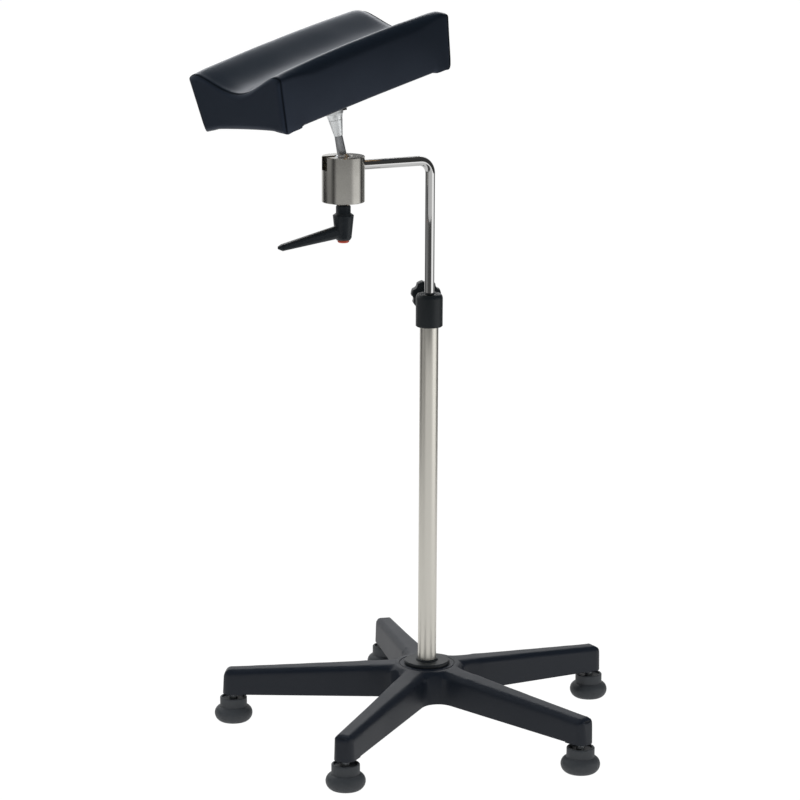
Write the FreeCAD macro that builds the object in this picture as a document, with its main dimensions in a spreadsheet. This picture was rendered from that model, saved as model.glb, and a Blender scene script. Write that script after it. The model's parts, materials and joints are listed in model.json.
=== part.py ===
# Forearm rest for a tattoo studio: a troughed pad on a ball joint, carried by a bent rod that
# slides and turns in a column on a moulded five-arm base.
# The frame is millimetres, +Z up, with the origin on the floor in the column's axis. The arm,
# the ball housing and its notch lie on the -X side, in the XZ plane.
import FreeCAD, Part
import math
import os
import re
import Sketcher
from FreeCAD import Placement, Rotation, Vector

sizes = {
    "Five-arm base": {
        "arm_count": 5,
        "base_turn": 3.33,
        "foot_circle_radius": 267,
        "arm_tip_radius": 14.2,
        "tip_corner": 12,
        "tip_slant": 1.8,
        "arm_taper": 1,
        "valley_radius": 25,
        "hub_top": 91,
        "hub_flat_radius": 44,
        "strip_root": 12.5,
        "strip_tip": 8,
        "arm_bevel": 7,
        "tip_top": 74.5,
        "tip_round": 11,
        "hub_bottom": 46.5,
        "hub_under_radius": 50,
        "skirt_bottom": 40.3,
        "tip_bottom": 39.2,
        "base_wall": 3.5,
        "base_roof": 4,
        "hub_boss_wall": 7.5,
        "stem_boss_radius": 9.5,
        "rib_thickness": 2.5,
        "rib_rise": 4,
        "cross_rib_count": 3,
        "hub_ring_radius": 37.5,
        "hub_ring_width": 1.4,
        "hub_ring_depth": 0.8,
        "hub_ledge": 6,
    },
    "Foot glides": {
        "foot_rim_height": 33.5,
        "foot_neck_radius": 18.5,
        "foot_neck_bottom": 20.5,
        "foot_bulge_radius": 26,
        "foot_bulge_height": 10.5,
        "foot_sole_radius": 20,
        "foot_upper_bend": 10.4,
        "foot_lower_bend": 12.2,
        "foot_rim_width": 3,
        "foot_recess_depth": 3,
        "foot_edge": 1,
        "stem_radius": 5.5,
        "stem_foot_depth": 12,
        "stem_reach": 24,
        "stem_edge": 1,
    },
    "Column": {
        "tube_radius": 12.5,
        "tube_wall": 2,
        "tube_top": 586,
        "bush_wall": 2,
        "bush_lip": 2,
        "bush_depth": 18,
        "cover_width": 18.3,
        "cover_height": 5,
        "cover_edge": 1.4,
        "tube_nut_length": 22,
        "base_bolt_radius": 5,
        "base_bolt_length": 34,
        "base_bolt_flats": 17,
        "base_bolt_head": 6.5,
        "base_washer_width": 6.5,
        "base_washer_height": 3,
    },
    "Clamp collar and knob": {
        "collar_wall": 5.5,
        "collar_bottom": 558.5,
        "collar_top": 602.6,
        "collar_edge": 1.2,
        "collar_shoulder": 6,
        "collar_draw_in": 2.6,
        "collar_bend": 8,
        "collar_dish": 1.5,
        "liner_inset": 0.5,
        "liner_gap": 1.2,
        "rod_passage": 0.6,
        "knob_height": 593.5,
        "knob_azimuth": 69,
        "clamp_boss_radius": 7,
        "clamp_boss_rise": 5.5,
        "insert_radius": 5,
        "insert_length": 9,
        "knob_stud_radius": 4,
        "knob_stud_embed": 11,
        "knob_gap": 1.2,
        "knob_neck_radius": 9,
        "knob_neck_length": 7,
        "knob_radius": 20,
        "knob_length": 16,
        "knob_lobes": 7,
        "knob_scallop_radius": 7,
        "knob_scallop_depth": 2.6,
        "knob_edge": 2.2,
        "knob_dish": 1.2,
        "tip_pad_radius": 3,
        "tip_pad_length": 4,
        "tip_pad_edge": 0.5,
    },
    "Bent rod": {
        "rod_radius": 6.5,
        "rod_bottom": 330,
        "arm_height": 780.6,
        "arm_length": 127,
        "rod_bend": 17,
        "rod_seat": 8,
        "guide_length": 30,
        "guide_lift": 4,
        "guide_edge": 1,
        "circlip_width": 2.6,
        "circlip_thickness": 1.5,
    },
    "Ball housing": {
        "housing_radius": 28,
        "housing_bottom": 734,
        "housing_height": 60,
        "housing_edge": 0.8,
        "ball_radius": 12.5,
        "ball_depth": 8,
        "mouth_flare_depth": 2,
        "mouth_flare": 1.3,
        "notch_width": 15,
        "notch_depth": 17.5,
        "plug_height": 10,
        "plug_inset": 0.5,
        "pressure_gap": 0.4,
        "pressure_bottom": 750,
        "pressure_height": 8,
        "seat_rim_drop": 6,
        "lever_washer_radius": 7.6,
        "lever_washer_height": 2.6,
    },
    "Ball stud and head socket": {
        "lean": 11.5,
        "spin": 19.7,
        "stem_root_radius": 6.1,
        "stem_tip_radius": 5.3,
        "cone_start": 35.5,
        "cone_start_radius": 5.7,
        "cone_end": 57,
        "cone_end_radius": 9.3,
        "stem_spigot_radius": 3.6,
        "stem_spigot_length": 15,
        "head_spigot_radius": 7,
        "head_spigot_length": 21,
        "socket_flare_end": 63,
        "socket_flare_radius": 10.6,
        "socket_shoulder": 65,
        "socket_radius": 12,
        "plate_bottom": 84.4,
        "plate_thickness": 4,
        "plate_length": 90,
        "plate_width": 64,
        "plate_corner": 8,
        "plate_screw_x": 34,
        "plate_screw_y": 22,
        "plate_screw_radius": 3,
        "plate_screw_head": 5.2,
        "plate_screw_flat_share": 0.7,
        "plate_screw_head_height": 2.8,
        "plate_screw_reach": 15.5,
        "lock_screw_height": 70.5,
        "lock_screw_azimuth": -47,
        "lock_screw_radius": 2.5,
        "lock_screw_head": 3.8,
        "lock_screw_head_length": 4.8,
        "lock_screw_hex": 2.5,
    },
    "Pad": {
        "pad_length": 320,
        "pad_width": 168,
        "pad_height": 73,
        "pad_end_taper": 7,
        "pad_side_taper": 9,
        "pad_side_bow": 2.5,
        "pad_end_bow": 1.5,
        "pad_corner": 7,
        "trough_depth": 22,
        "crest_margin": 13,
        "crest_radius": 15,
        "shoulder_bend": 24,
        "shoulder_edge": 4,
        "pad_crown": 4.5,
        "cover_thickness": 1.4,
        "cover_turn_under": 26,
        "tuck_length": 15,
        "tuck_width": 11,
        "tuck_drop": 2.2,
        "tuck_inset": 8,
        "board_margin": 9,
        "board_thickness": 12,
        "board_corner": 12,
        "tee_flange_radius": 8.5,
        "tee_flange_height": 1.2,
        "tee_barrel_radius": 4.2,
        "tee_barrel_length": 9,
        "staple_count": 7,
        "end_staple_count": 3,
        "staple_length": 10,
        "staple_wire": 1,
        "staple_inset": 19,
    },
    "Clamping lever": {
        "lever_neck_radius": 9.7,
        "lever_top": 730,
        "lever_neck_edge": 1.6,
        "lever_neck_bottom": 719.5,
        "lever_hub_radius": 13.8,
        "lever_shoulder": 716.5,
        "lever_foot_radius": 10.8,
        "lever_foot": 687,
        "lever_bottom": 684,
        "lever_foot_edge": 1.8,
        "lever_reach": 93,
        "lever_root": 8,
        "lever_root_top": 704,
        "lever_root_bottom": 686,
        "lever_root_width": 13,
        "lever_tip_top": 684.4,
        "lever_tip_bottom": 676,
        "lever_tip_width": 10.5,
        "lever_nose": 5,
        "lever_nose_share": 0.45,
        "lever_corner_share": 0.36,
        "lever_insert_radius": 7,
        "lever_insert_bottom": 701,
        "lever_shelf": 3,
        "clamp_stud_radius": 5,
        "clamp_stud_bottom": 713,
        "retaining_radius": 2.5,
        "retaining_head_radius": 4,
        "retaining_head_height": 3,
        "retaining_reach": 8,
        "button_radius": 7.6,
        "button_drop": 3.5,
        "button_dome": 1.2,
        "button_skirt": 4,
        "spring_coil_radius": 5.7,
        "spring_wire_radius": 0.5,
        "spring_turns": 4,
    },
    "Clearances": {
        "seat_gap": 0.1,
        "running_gap": 0.06,
        "clear_gap": 0.3,
        "overrun": 1,
    },
}

aliases = {alias for group in sizes.values() for alias in group}

# Sizes that follow others, so that a piece grows with the one that it fits
followers = {
    "bush_radius": "tube_radius + bush_wall",
    "cover_radius": "tube_radius + cover_width",
    "hub_boss_radius": "bush_radius + hub_boss_wall",
    "base_washer_radius": "tube_radius + base_washer_width",
    "collar_radius": "tube_radius + collar_wall",
    "liner_radius": "tube_radius - tube_wall - liner_inset",
    "clamp_boss_reach": "collar_radius + clamp_boss_rise",
    "pressure_radius": "ball_radius - pressure_gap",
    "knob_scallop_offset": "knob_radius + knob_scallop_radius - knob_scallop_depth",
    "crest_offset": "pad_width / 2 - crest_margin",
}

doc = FreeCAD.newDocument("ArmRestStand")
sheet = doc.addObject("Spreadsheet::Sheet", "Sizes")
parts = []


def fill_sheet():
    row = 1
    for group, entries in sizes.items():
        sheet.set("A%d" % row, group)
        row += 1
        for alias, number in entries.items():
            sheet.set("A%d" % row, alias)
            sheet.set("B%d" % row, str(number))
            sheet.setAlias("B%d" % row, alias)
            row += 1
    doc.recompute()


def bound(expression):
    """The expression with followers written out and every size's name made a reference into the sheet."""
    for name in reversed(followers):
        expression = re.sub(r"\b%s\b" % name, "(%s)" % followers[name], expression)
    return re.sub(r"[a-z_]\w*", lambda m: ("Sizes." if m.group() in aliases else "") + m.group(), expression)


def value(expression):
    result = sheet.evalExpression(bound(expression))
    return float(getattr(result, "Value", result))


def bind(item, **properties):
    for name, expression in properties.items():
        item.setExpression(name.replace("_", "."), bound(expression))


def add_part(item, label):
    item.Label = label
    parts.append(item)
    return item


# Places

def place(item, x="0", y="0", z="0", axis="0; 0; 1", angle="0"):
    where = "placement(vector(%s; %s; %s); rotation(vector(%s); %s))" % (x, y, z, axis, angle)
    item.setExpression("Placement", bound(where))
    return item


housing_x = "-arm_length"
housing_top = "(housing_bottom + housing_height)"
ball_z = "(housing_bottom + housing_height - ball_depth)"
tilted = "placement(vector(-arm_length; 0; %s); rotation(vector(0; 1; 0); -lean))" % ball_z
spun = tilted + " * placement(vector(0; 0; 0); rotation(vector(0; 0; 1); spin))"
knob_axis = ("placement(vector(0; 0; knob_height); rotation(vector(0; 0; 1); knob_azimuth))"
             " * placement(vector(0; 0; 0); rotation(vector(0; 1; 0); 90))")


def place_on(item, frame, x="0", y="0", z="0", turn="0"):
    step = "placement(vector(%s; %s; %s); rotation(vector(0; 0; 1); %s))" % (x, y, z, turn)
    item.setExpression("Placement", bound(frame + " * " + step))
    return item


# Sketches and features

def new_body(name):
    return doc.addObject("PartDesign::Body", name)


def limit(sketch, kind, expression, *ends):
    """A dimension of the sketch, driven by the sheet."""
    number = sketch.addConstraint(Sketcher.Constraint(kind, *ends, value(expression)))
    sketch.setExpression("Constraints[%d]" % number, bound(expression))


def draw(body, name, role, outline, offset=None):
    """A closed sketch on one of the body's own planes. Each corner is (x, y), or (x, y, bend)
    where the edge that leaves it is an arc: a positive bend turns left, a negative one right.
    A single entry is a circle: its middle and its radius."""
    sketch = body.newObject("Sketcher::SketchObject", name)
    sketch.AttachmentSupport = [(next(f for f in body.Origin.OriginFeatures if f.Role == role), "")]
    sketch.MapMode = "FlatFace"
    if offset:
        sketch.setExpression("AttachmentOffset.Base.z", bound(offset))
    corners = [Vector(value(corner[0]), value(corner[1]), 0) for corner in outline]
    count = len(corners)
    if count == 1:
        sketch.addGeometry(Part.Circle(corners[0], Vector(0, 0, 1), value(outline[0][2])))
        limit(sketch, "DistanceX", outline[0][0], -1, 1, 0, 3)
        limit(sketch, "DistanceY", outline[0][1], -1, 1, 0, 3)
        limit(sketch, "Radius", outline[0][2], 0)
        return sketch
    starts = []
    for i, corner in enumerate(outline):
        a, b = corners[i], corners[(i + 1) % count]
        if len(corner) == 2:
            sketch.addGeometry(Part.LineSegment(a, b))
            starts.append((1, 2))
            continue
        bend = value(corner[2])
        half = (b - a) * 0.5
        left = Vector(-half.y, half.x, 0).normalize()
        sagitta = abs(bend) - math.sqrt(max(bend * bend - half.Length ** 2, 0))
        through = a + half - left * math.copysign(sagitta, bend)
        ends = (a, b) if bend > 0 else (b, a)
        sketch.addGeometry(Part.Arc(ends[0], through, ends[1]))
        starts.append((1, 2) if bend > 0 else (2, 1))
    for i in range(count):
        after = (i + 1) % count
        sketch.addConstraint(Sketcher.Constraint("Coincident", i, starts[i][1], after, starts[after][0]))
    for i, corner in enumerate(outline):
        limit(sketch, "DistanceX", corner[0], -1, 1, i, starts[i][0])
        limit(sketch, "DistanceY", corner[1], -1, 1, i, starts[i][0])
        if len(corner) == 3:
            limit(sketch, "Radius", "abs(%s)" % corner[2], i)
    return sketch


def revolve(body, outline):
    """A turned form: the outline in X and Z, spun about Z."""
    turned = body.newObject("PartDesign::Revolution", body.Name + "_turned")
    turned.Profile = draw(body, body.Name + "_profile", "XZ_Plane", outline)
    turned.ReferenceAxis = (turned.Profile[0], ["V_Axis"])
    turned.Angle = 360
    return turned


def pad(body, outline, bottom, height, name="outline", role="XY_Plane"):
    extruded = body.newObject("PartDesign::Pad", body.Name + "_" + name + "_pad")
    extruded.Profile = draw(body, body.Name + "_" + name, role, outline, bottom)
    bind(extruded, Length=height)
    return extruded


def around(body, features, count):
    pattern = body.newObject("PartDesign::PolarPattern", body.Name + "_around")
    pattern.Originals = features
    axis = next(f for f in body.Origin.OriginFeatures if f.Role == "Z_Axis")
    pattern.Axis = (axis, [""])
    pattern.Angle = 360
    pattern.Refine = False
    bind(pattern, Occurrences=count)
    body.Tip = pattern
    return pattern


def turned_part(label, outline):
    body = new_body(label)
    revolve(body, outline)
    return add_part(body, label)


def cylinder(name, radius, height, frame=None, x="0", y="0", z="0"):
    item = doc.addObject("Part::Cylinder", name)
    bind(item, Radius=radius, Height=height)
    if frame:
        return place_on(item, frame, x, y, z)
    return place(item, x, y, z)


def box(name, length, width, height, frame=None, x="0", y="0", z="0", turn="0"):
    """A block centred on x and y that stands on z."""
    item = doc.addObject("Part::Box", name)
    bind(item, Length=length, Width=width, Height=height)
    turned = "placement(vector(%s; %s; %s); rotation(vector(0; 0; 1); %s))" % (x, y, z, turn)
    centred = " * placement(vector(-(%s) / 2; -(%s) / 2; 0); rotation(vector(0; 0; 1); 0))" % (length, width)
    item.setExpression("Placement", bound((frame + " * " if frame else "") + turned + centred))
    return item


def cut(name, base, tool):
    item = doc.addObject("Part::Cut", name)
    item.Base = base
    item.Tool = tool
    return item


def fuse(name, items):
    item = doc.addObject("Part::MultiFuse", name)
    item.Shapes = items
    return item


def common(name, items):
    item = doc.addObject("Part::MultiCommon", name)
    item.Shapes = items
    return item


def group(name, items):
    """Identical pieces kept as separate solids of one node."""
    item = doc.addObject("Part::Compound", name)
    item.Links = items
    return item


def ring(inner, outer, bottom, top):
    return [(inner, bottom), (outer, bottom), (outer, top), (inner, top)]


def rounded(length, width, corner):
    """A rectangle about the origin with rounded corners, as an outline."""
    x, y = "(%s) / 2" % length, "(%s) / 2" % width
    return [
        ("-(%s) + %s" % (x, corner), "-(%s)" % y), ("%s - %s" % (x, corner), "-(%s)" % y, corner),
        (x, "-(%s) + %s" % (y, corner)), (x, "%s - %s" % (y, corner), corner),
        ("%s - %s" % (x, corner), y), ("-(%s) + %s" % (x, corner), y, corner),
        ("-(%s)" % x, "%s - %s" % (y, corner)), ("-(%s)" % x, "-(%s) + %s" % (y, corner), corner),
    ]


def circle(radius, x="0", y="0"):
    return [(x, y, radius)]


fill_sheet()

# The moulded base: one arm's outline and the valleys beside it, repeated round the hub

step = "(360 / arm_count)"
half_step = "(180 / arm_count)"


def fifth(name, inset):
    """One arm with half a valley on each side, as a prism; inset moves its walls inwards."""
    tip = "(arm_tip_radius - (%s))" % inset
    bend = "(valley_radius + (%s))" % inset
    line = "(foot_circle_radius * sin(arm_taper) + %s)" % tip
    middle = "((%s + %s) / sin(%s + arm_taper))" % (line, bend, half_step)
    valley = (lambda side: ("(%s - %s) * cos(%s)" % (middle, bend, half_step),
                            "%s(%s - %s) * sin(%s)" % (side, middle, bend, half_step)))
    tangent = (lambda side: ("%s * cos(%s) - %s * sin(arm_taper)" % (middle, half_step, bend),
                             "%s(%s * sin(%s) - %s * cos(arm_taper))" % (side, middle, half_step, bend)))
    corner = "(tip_corner - (%s))" % inset
    end = "(foot_circle_radius + %s)" % tip
    hinge = "((%s - %s - (%s - %s) * sin(arm_taper)) / cos(arm_taper))" % (line, corner, end, corner)
    shoulder = (lambda side: ("%s - %s + %s * sin(arm_taper)" % (end, corner, corner),
                              "%s(%s + %s * cos(arm_taper))" % (side, hinge, corner)))
    outline = [
        ("0", "0"), valley("-") + ("-" + bend,), tangent("-"), shoulder("-") + (corner,), (end, "-" + hinge),
        (end, hinge, corner), shoulder(""), tangent("") + ("-" + bend,), valley(""),
    ]
    body = new_body(name)
    extruded = pad(body, outline, "tip_bottom - 2 * overrun", "hub_top - tip_bottom + 4 * overrun")
    around(body, [extruded], "arm_count")
    return place(body, angle="base_turn")


def roof(name, drop):
    """What lies under the base's top: a hub disc and five bevelled ridges that fall outwards."""
    body = new_body(name)
    reach = "(foot_circle_radius + arm_tip_radius + overrun)"
    flat = "(hub_top - %s)" % drop
    fall = "((hub_top - tip_top) / (foot_circle_radius - hub_flat_radius))"
    wide = "(2 * arm_tip_radius + arm_bevel)"
    low = "tip_bottom - 3 * overrun"
    hub = revolve(body, [
        ("0", low), ("hub_flat_radius + 2 * arm_bevel", low),
        ("hub_flat_radius + 2 * arm_bevel", flat + " - 2 * arm_bevel"),
        ("hub_flat_radius", flat), ("0", flat)])
    ridge = body.newObject("PartDesign::AdditiveLoft", name + "_ridge")
    sections = []
    for end, along, strip in (("root", "0", "strip_root"), ("tip", reach, "strip_tip")):
        top = "(%s + %s * (hub_flat_radius - %s))" % (flat, fall, along)
        outline = [("-" + wide, low), (wide, low), (wide, "%s - (%s - %s)" % (top, wide, strip)),
                   (strip, top), ("-" + strip, top), ("-" + wide, "%s - (%s - %s)" % (top, wide, strip))]
        sections.append(draw(body, name + "_" + end, "YZ_Plane", outline, along))
    ridge.Profile = sections[0]
    ridge.Sections = sections[1:]
    ridge.Ruled = True
    hub.Refine = False
    ridge.Refine = False
    around(body, [ridge], "arm_count")
    return place(body, angle="base_turn")


def base_envelope():
    """The revolved limit of the base: its stepped underside and the rounding over the arm tips."""
    end = "(foot_circle_radius + arm_tip_radius)"
    top = "(%s - tip_slant)" % end
    body = new_body("base_envelope")
    revolve(body, [
        ("0", "hub_bottom"), ("hub_under_radius", "hub_bottom"),
        ("foot_circle_radius - arm_tip_radius", "skirt_bottom"),
        ("foot_circle_radius - arm_tip_radius", "tip_bottom"),
        (end, "tip_bottom"), (top, "tip_top - tip_round", "tip_round"), (top + " - tip_round", "tip_top"),
        (top + " - tip_round", "hub_top"), ("0", "hub_top")])
    return body


def base_ribs():
    """Web along each arm and webs across it, under the roof."""
    body = new_body("base_ribs")
    start = "hub_boss_radius - overrun"
    long_rib = [(start, "-rib_thickness / 2"), ("foot_circle_radius", "-rib_thickness / 2"),
                ("foot_circle_radius", "rib_thickness / 2"), (start, "rib_thickness / 2")]
    height = "hub_top - skirt_bottom"
    along = pad(body, long_rib, "skirt_bottom + rib_rise", height, "web")
    ribs = [along]
    for i in range(int(value("cross_rib_count"))):
        span = "(foot_circle_radius - hub_under_radius)"
        x = "(hub_under_radius + %s * %d / (cross_rib_count + 1))" % (span, i + 1)
        across = [(x + " - rib_thickness / 2", "-arm_tip_radius - arm_bevel"),
                  (x + " + rib_thickness / 2", "-arm_tip_radius - arm_bevel"),
                  (x + " + rib_thickness / 2", "arm_tip_radius + arm_bevel"),
                  (x + " - rib_thickness / 2", "arm_tip_radius + arm_bevel")]
        ribs.append(pad(body, across, "skirt_bottom + rib_rise", height, "cross%d" % (i + 1)))
    around(body, ribs, "arm_count")
    return place(body, angle="base_turn")


def foot_place(i):
    angle = "(base_turn + %d * 360 / arm_count)" % i
    return "foot_circle_radius * cos(%s)" % angle, "foot_circle_radius * sin(%s)" % angle


def star_base():
    outer = common("base_outer", [fifth("base_plan", "0"), roof("base_roof_form", "0"), base_envelope()])
    hollow = common("base_hollow", [fifth("base_hollow_plan", "base_wall"),
                                    roof("base_hollow_form", "base_roof")])
    feet = [foot_place(i) for i in range(int(value("arm_count")))]
    tall = "hub_top - tip_bottom + 4 * overrun"
    low = "tip_bottom - 2 * overrun"
    bosses = [cylinder("stem_boss_%d" % (i + 1), "stem_boss_radius", tall, x=x, y=y, z=low)
              for i, (x, y) in enumerate(feet)]
    bosses.append(cylinder("hub_boss", "hub_boss_radius", tall, z=low))
    pockets = cut("base_pockets", cut("base_clear_pockets", hollow, base_ribs()), fuse("base_bosses", bosses))
    shelled = cut("base_shelled", outer, pockets)
    bores = [cylinder("stem_bore_%d" % (i + 1), "stem_radius + seat_gap", "stem_reach + 2 * overrun",
                      x=x, y=y, z=low) for i, (x, y) in enumerate(feet)]
    bores.append(cylinder("bolt_bore", "base_bolt_radius + clear_gap", tall, z=low))
    bores.append(cylinder("tube_bore", "tube_radius + seat_gap", tall, z="hub_bottom + hub_ledge"))
    bores.append(cylinder("bush_bore", "bush_radius + seat_gap", "bush_depth + overrun",
                          z="hub_top - bush_depth"))
    groove = new_body("hub_ring")
    revolve(groove, ring("hub_ring_radius - hub_ring_width / 2", "hub_ring_radius + hub_ring_width / 2",
                         "hub_top - hub_ring_depth", "hub_top + overrun"))
    bores.append(groove)
    return add_part(cut("base_moulding", shelled, fuse("base_bores", bores)), "star_base")


star_base()

# Foot glides, with the pins that press them into the arm tips

def foot_glides():
    pins = []
    for i in range(int(value("arm_count"))):
        x, y = foot_place(i)
        glide = turned_part("foot_glide_%d" % (i + 1), [
            ("0", "0"), ("foot_sole_radius", "0", "foot_lower_bend"),
            ("foot_bulge_radius", "foot_bulge_height", "foot_upper_bend"),
            ("foot_neck_radius", "foot_neck_bottom"), ("foot_neck_radius", "foot_rim_height - foot_edge"),
            ("foot_neck_radius - foot_edge", "foot_rim_height"),
            ("foot_neck_radius - foot_rim_width", "foot_rim_height"),
            ("foot_neck_radius - foot_rim_width", "foot_rim_height - foot_recess_depth"),
            ("stem_radius + seat_gap", "foot_rim_height - foot_recess_depth"),
            ("stem_radius + seat_gap", "foot_rim_height - foot_recess_depth - stem_foot_depth - seat_gap"),
            ("0", "foot_rim_height - foot_recess_depth - stem_foot_depth - seat_gap")])
        place(glide, x, y)
        pin = new_body("glide_pin_%d" % (i + 1))
        foot = "foot_rim_height - foot_recess_depth - stem_foot_depth"
        top = "tip_bottom + stem_reach"
        revolve(pin, [("0", foot), ("stem_radius", foot), ("stem_radius", top + " - stem_edge"),
                      ("stem_radius - stem_edge", top), ("0", top)])
        pins.append(place(pin, x, y))
    add_part(group("glide_pin_group", pins), "glide_pins")


foot_glides()

# Column: tube, its bush and cover at the hub, and the nut, bolt and washer that hold it down

tube_bottom = "(hub_bottom + hub_ledge)"
tube_bore = "(tube_radius - tube_wall)"


def column():
    turned_part("column_tube", ring(tube_bore, "tube_radius", tube_bottom, "tube_top"))
    turned_part("column_bush", [
        ("tube_radius + seat_gap", "hub_top - bush_depth + seat_gap"),
        ("bush_radius", "hub_top - bush_depth + seat_gap"),
        ("bush_radius", "hub_top + cover_height + bush_lip - cover_edge"),
        ("bush_radius - cover_edge", "hub_top + cover_height + bush_lip"),
        ("tube_radius + seat_gap", "hub_top + cover_height + bush_lip")])
    turned_part("hub_cover", [
        ("bush_radius + seat_gap", "hub_top"), ("cover_radius", "hub_top"),
        ("cover_radius", "hub_top + cover_height - cover_edge"),
        ("cover_radius - cover_edge", "hub_top + cover_height"),
        ("bush_radius + seat_gap", "hub_top + cover_height")])
    turned_part("tube_nut", ring("base_bolt_radius + seat_gap", tube_bore + " - seat_gap",
                                 tube_bottom, tube_bottom + " + tube_nut_length"))
    turned_part("base_washer", ring("base_bolt_radius + clear_gap", "base_washer_radius",
                                    "hub_bottom - base_washer_height", "hub_bottom"))
    under = "(hub_bottom - base_washer_height)"
    bolt = new_body("base_bolt")
    corner = "(base_bolt_flats / sqrt(3))"
    hexagon = [("%s * cos(%d)" % (corner, 60 * i), "%s * sin(%d)" % (corner, 60 * i)) for i in range(6)]
    pad(bolt, hexagon, under + " - base_bolt_head", "base_bolt_head", "head")
    pad(bolt, circle("base_bolt_radius"), under, "base_bolt_length", "shank")
    add_part(bolt, "base_bolt")


column()

# Clamp collar at the column's top: moulded ring with a boss for the knob's stud

def clamp_collar():
    ledge = "(tube_top + seat_gap)"
    neck = "(collar_radius - collar_draw_in)"
    shell = new_body("collar_shell")
    revolve(shell, [
        ("tube_radius + seat_gap", "collar_bottom"), ("collar_radius - collar_edge", "collar_bottom"),
        ("collar_radius", "collar_bottom + collar_edge"),
        ("collar_radius", "collar_top - collar_shoulder", "collar_bend"),
        (neck, "collar_top"), ("liner_radius + seat_gap", "collar_top - collar_dish"),
        ("liner_radius + seat_gap", "tube_top + liner_gap"),
        ("rod_radius + rod_passage", "tube_top + liner_gap"), ("rod_radius + rod_passage", ledge),
        ("tube_radius + seat_gap", ledge)])
    boss = cylinder("collar_boss", "clamp_boss_radius", "clamp_boss_reach - collar_radius + collar_draw_in",
                    knob_axis, z=neck)
    bore = cylinder("collar_stud_bore", "knob_stud_radius + running_gap", "clamp_boss_reach", knob_axis)
    seat = cylinder("collar_insert_bore", "insert_radius + seat_gap", "insert_length + overrun", knob_axis,
                    z="clamp_boss_reach - insert_length")
    moulding = fuse("collar_moulding", [shell, boss])
    add_part(cut("collar_bored", moulding, fuse("collar_bores", [bore, seat])), "clamp_collar")
    liner = new_body("liner_ring")
    revolve(liner, ring("rod_radius + running_gap", "liner_radius", "tube_top + liner_gap + seat_gap",
                        "collar_top - collar_dish - seat_gap"))
    window = cylinder("liner_window", "knob_stud_radius + seat_gap", "collar_radius", knob_axis)
    add_part(cut("liner_cut", liner, window), "collar_liner")
    insert = turned_part("collar_insert", ring("knob_stud_radius + running_gap", "insert_radius",
                                               "0", "insert_length"))
    place_on(insert, knob_axis, z="clamp_boss_reach - insert_length")


def tension_knob():
    face = "(clamp_boss_reach + knob_gap)"
    head = "(%s + knob_neck_length)" % face
    disc = new_body("knob_disc")
    revolve(disc, [
        ("0", face), ("knob_neck_radius", face), ("knob_neck_radius", head),
        ("knob_radius - knob_edge", head), ("knob_radius", head + " + knob_edge"),
        ("knob_radius", head + " + knob_length - knob_edge"),
        ("knob_radius - knob_edge", head + " + knob_length"),
        ("knob_radius / 2", head + " + knob_length"),
        ("knob_radius / 2 - knob_dish", head + " + knob_length - knob_dish"),
        ("0", head + " + knob_length - knob_dish")])
    place_on(disc, knob_axis)
    scallops = []
    for i in range(int(value("knob_lobes"))):
        angle = "((%d + 0.5) * 360 / knob_lobes)" % i
        scallops.append(cylinder(
            "knob_scallop_%d" % (i + 1), "knob_scallop_radius", "knob_length + 2 * overrun", knob_axis,
            "knob_scallop_offset * cos(%s)" % angle, "knob_scallop_offset * sin(%s)" % angle,
            head + " - overrun"))
    stud_end = "(%s + knob_stud_embed)" % head
    scallops.append(cylinder("knob_stud_bore", "knob_stud_radius",
                             "knob_neck_length + knob_stud_embed + overrun", knob_axis, z=face + " - overrun"))
    add_part(cut("knob_moulding", disc, fuse("knob_cuts", scallops)), "star_knob")
    tip = "(rod_radius + clear_gap)"
    stud = turned_part("knob_stud", [
        ("0", tip + " + tip_pad_length"), ("knob_stud_radius", tip + " + tip_pad_length"),
        ("knob_stud_radius", stud_end), ("0", stud_end)])
    place_on(stud, knob_axis)
    pad_tip = turned_part("knob_tip", [
        ("0", tip), ("tip_pad_radius - tip_pad_edge", tip),
        ("tip_pad_radius", tip + " + tip_pad_edge"),
        ("tip_pad_radius", tip + " + tip_pad_length"), ("0", tip + " + tip_pad_length")])
    place_on(pad_tip, knob_axis)


clamp_collar()
tension_knob()

# Bent rod with the nylon guide that runs in the tube

rod_end = "(arm_length - housing_radius + rod_seat)"


def bent_rod():
    body = new_body("bent_rod")
    path = body.newObject("Sketcher::SketchObject", "rod_path")
    path.AttachmentSupport = [(next(f for f in body.Origin.OriginFeatures if f.Role == "XZ_Plane"), "")]
    path.MapMode = "FlatFace"
    top, bend, low = value("arm_height"), value("rod_bend"), value("rod_bottom")
    corner = Vector(-bend, top - bend, 0)
    path.addGeometry(Part.LineSegment(Vector(0, low, 0), Vector(0, top - bend, 0)))
    path.addGeometry(Part.ArcOfCircle(Part.Circle(corner, Vector(0, 0, 1), bend), 0, math.pi / 2))
    path.addGeometry(Part.LineSegment(Vector(-bend, top, 0), Vector(-value(rod_end), top, 0)))
    path.addConstraint(Sketcher.Constraint("Tangent", 0, 2, 1, 1))
    path.addConstraint(Sketcher.Constraint("Tangent", 1, 2, 2, 1))
    path.addConstraint(Sketcher.Constraint("Horizontal", 2))
    limit(path, "DistanceX", "0", -1, 1, 0, 1)
    limit(path, "DistanceY", "rod_bottom", -1, 1, 0, 1)
    limit(path, "DistanceX", "0", -1, 1, 0, 2)
    limit(path, "DistanceY", "arm_height", -1, 1, 2, 2)
    limit(path, "DistanceX", "-" + rod_end, -1, 1, 2, 2)
    limit(path, "Radius", "rod_bend", 1)
    pipe = body.newObject("PartDesign::AdditivePipe", "rod_pipe")
    pipe.Profile = draw(body, "rod_section", "XY_Plane", circle("rod_radius"), "rod_bottom")
    pipe.Spine = (path, ["Edge1", "Edge2", "Edge3"])
    add_part(body, "bent_rod")


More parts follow.
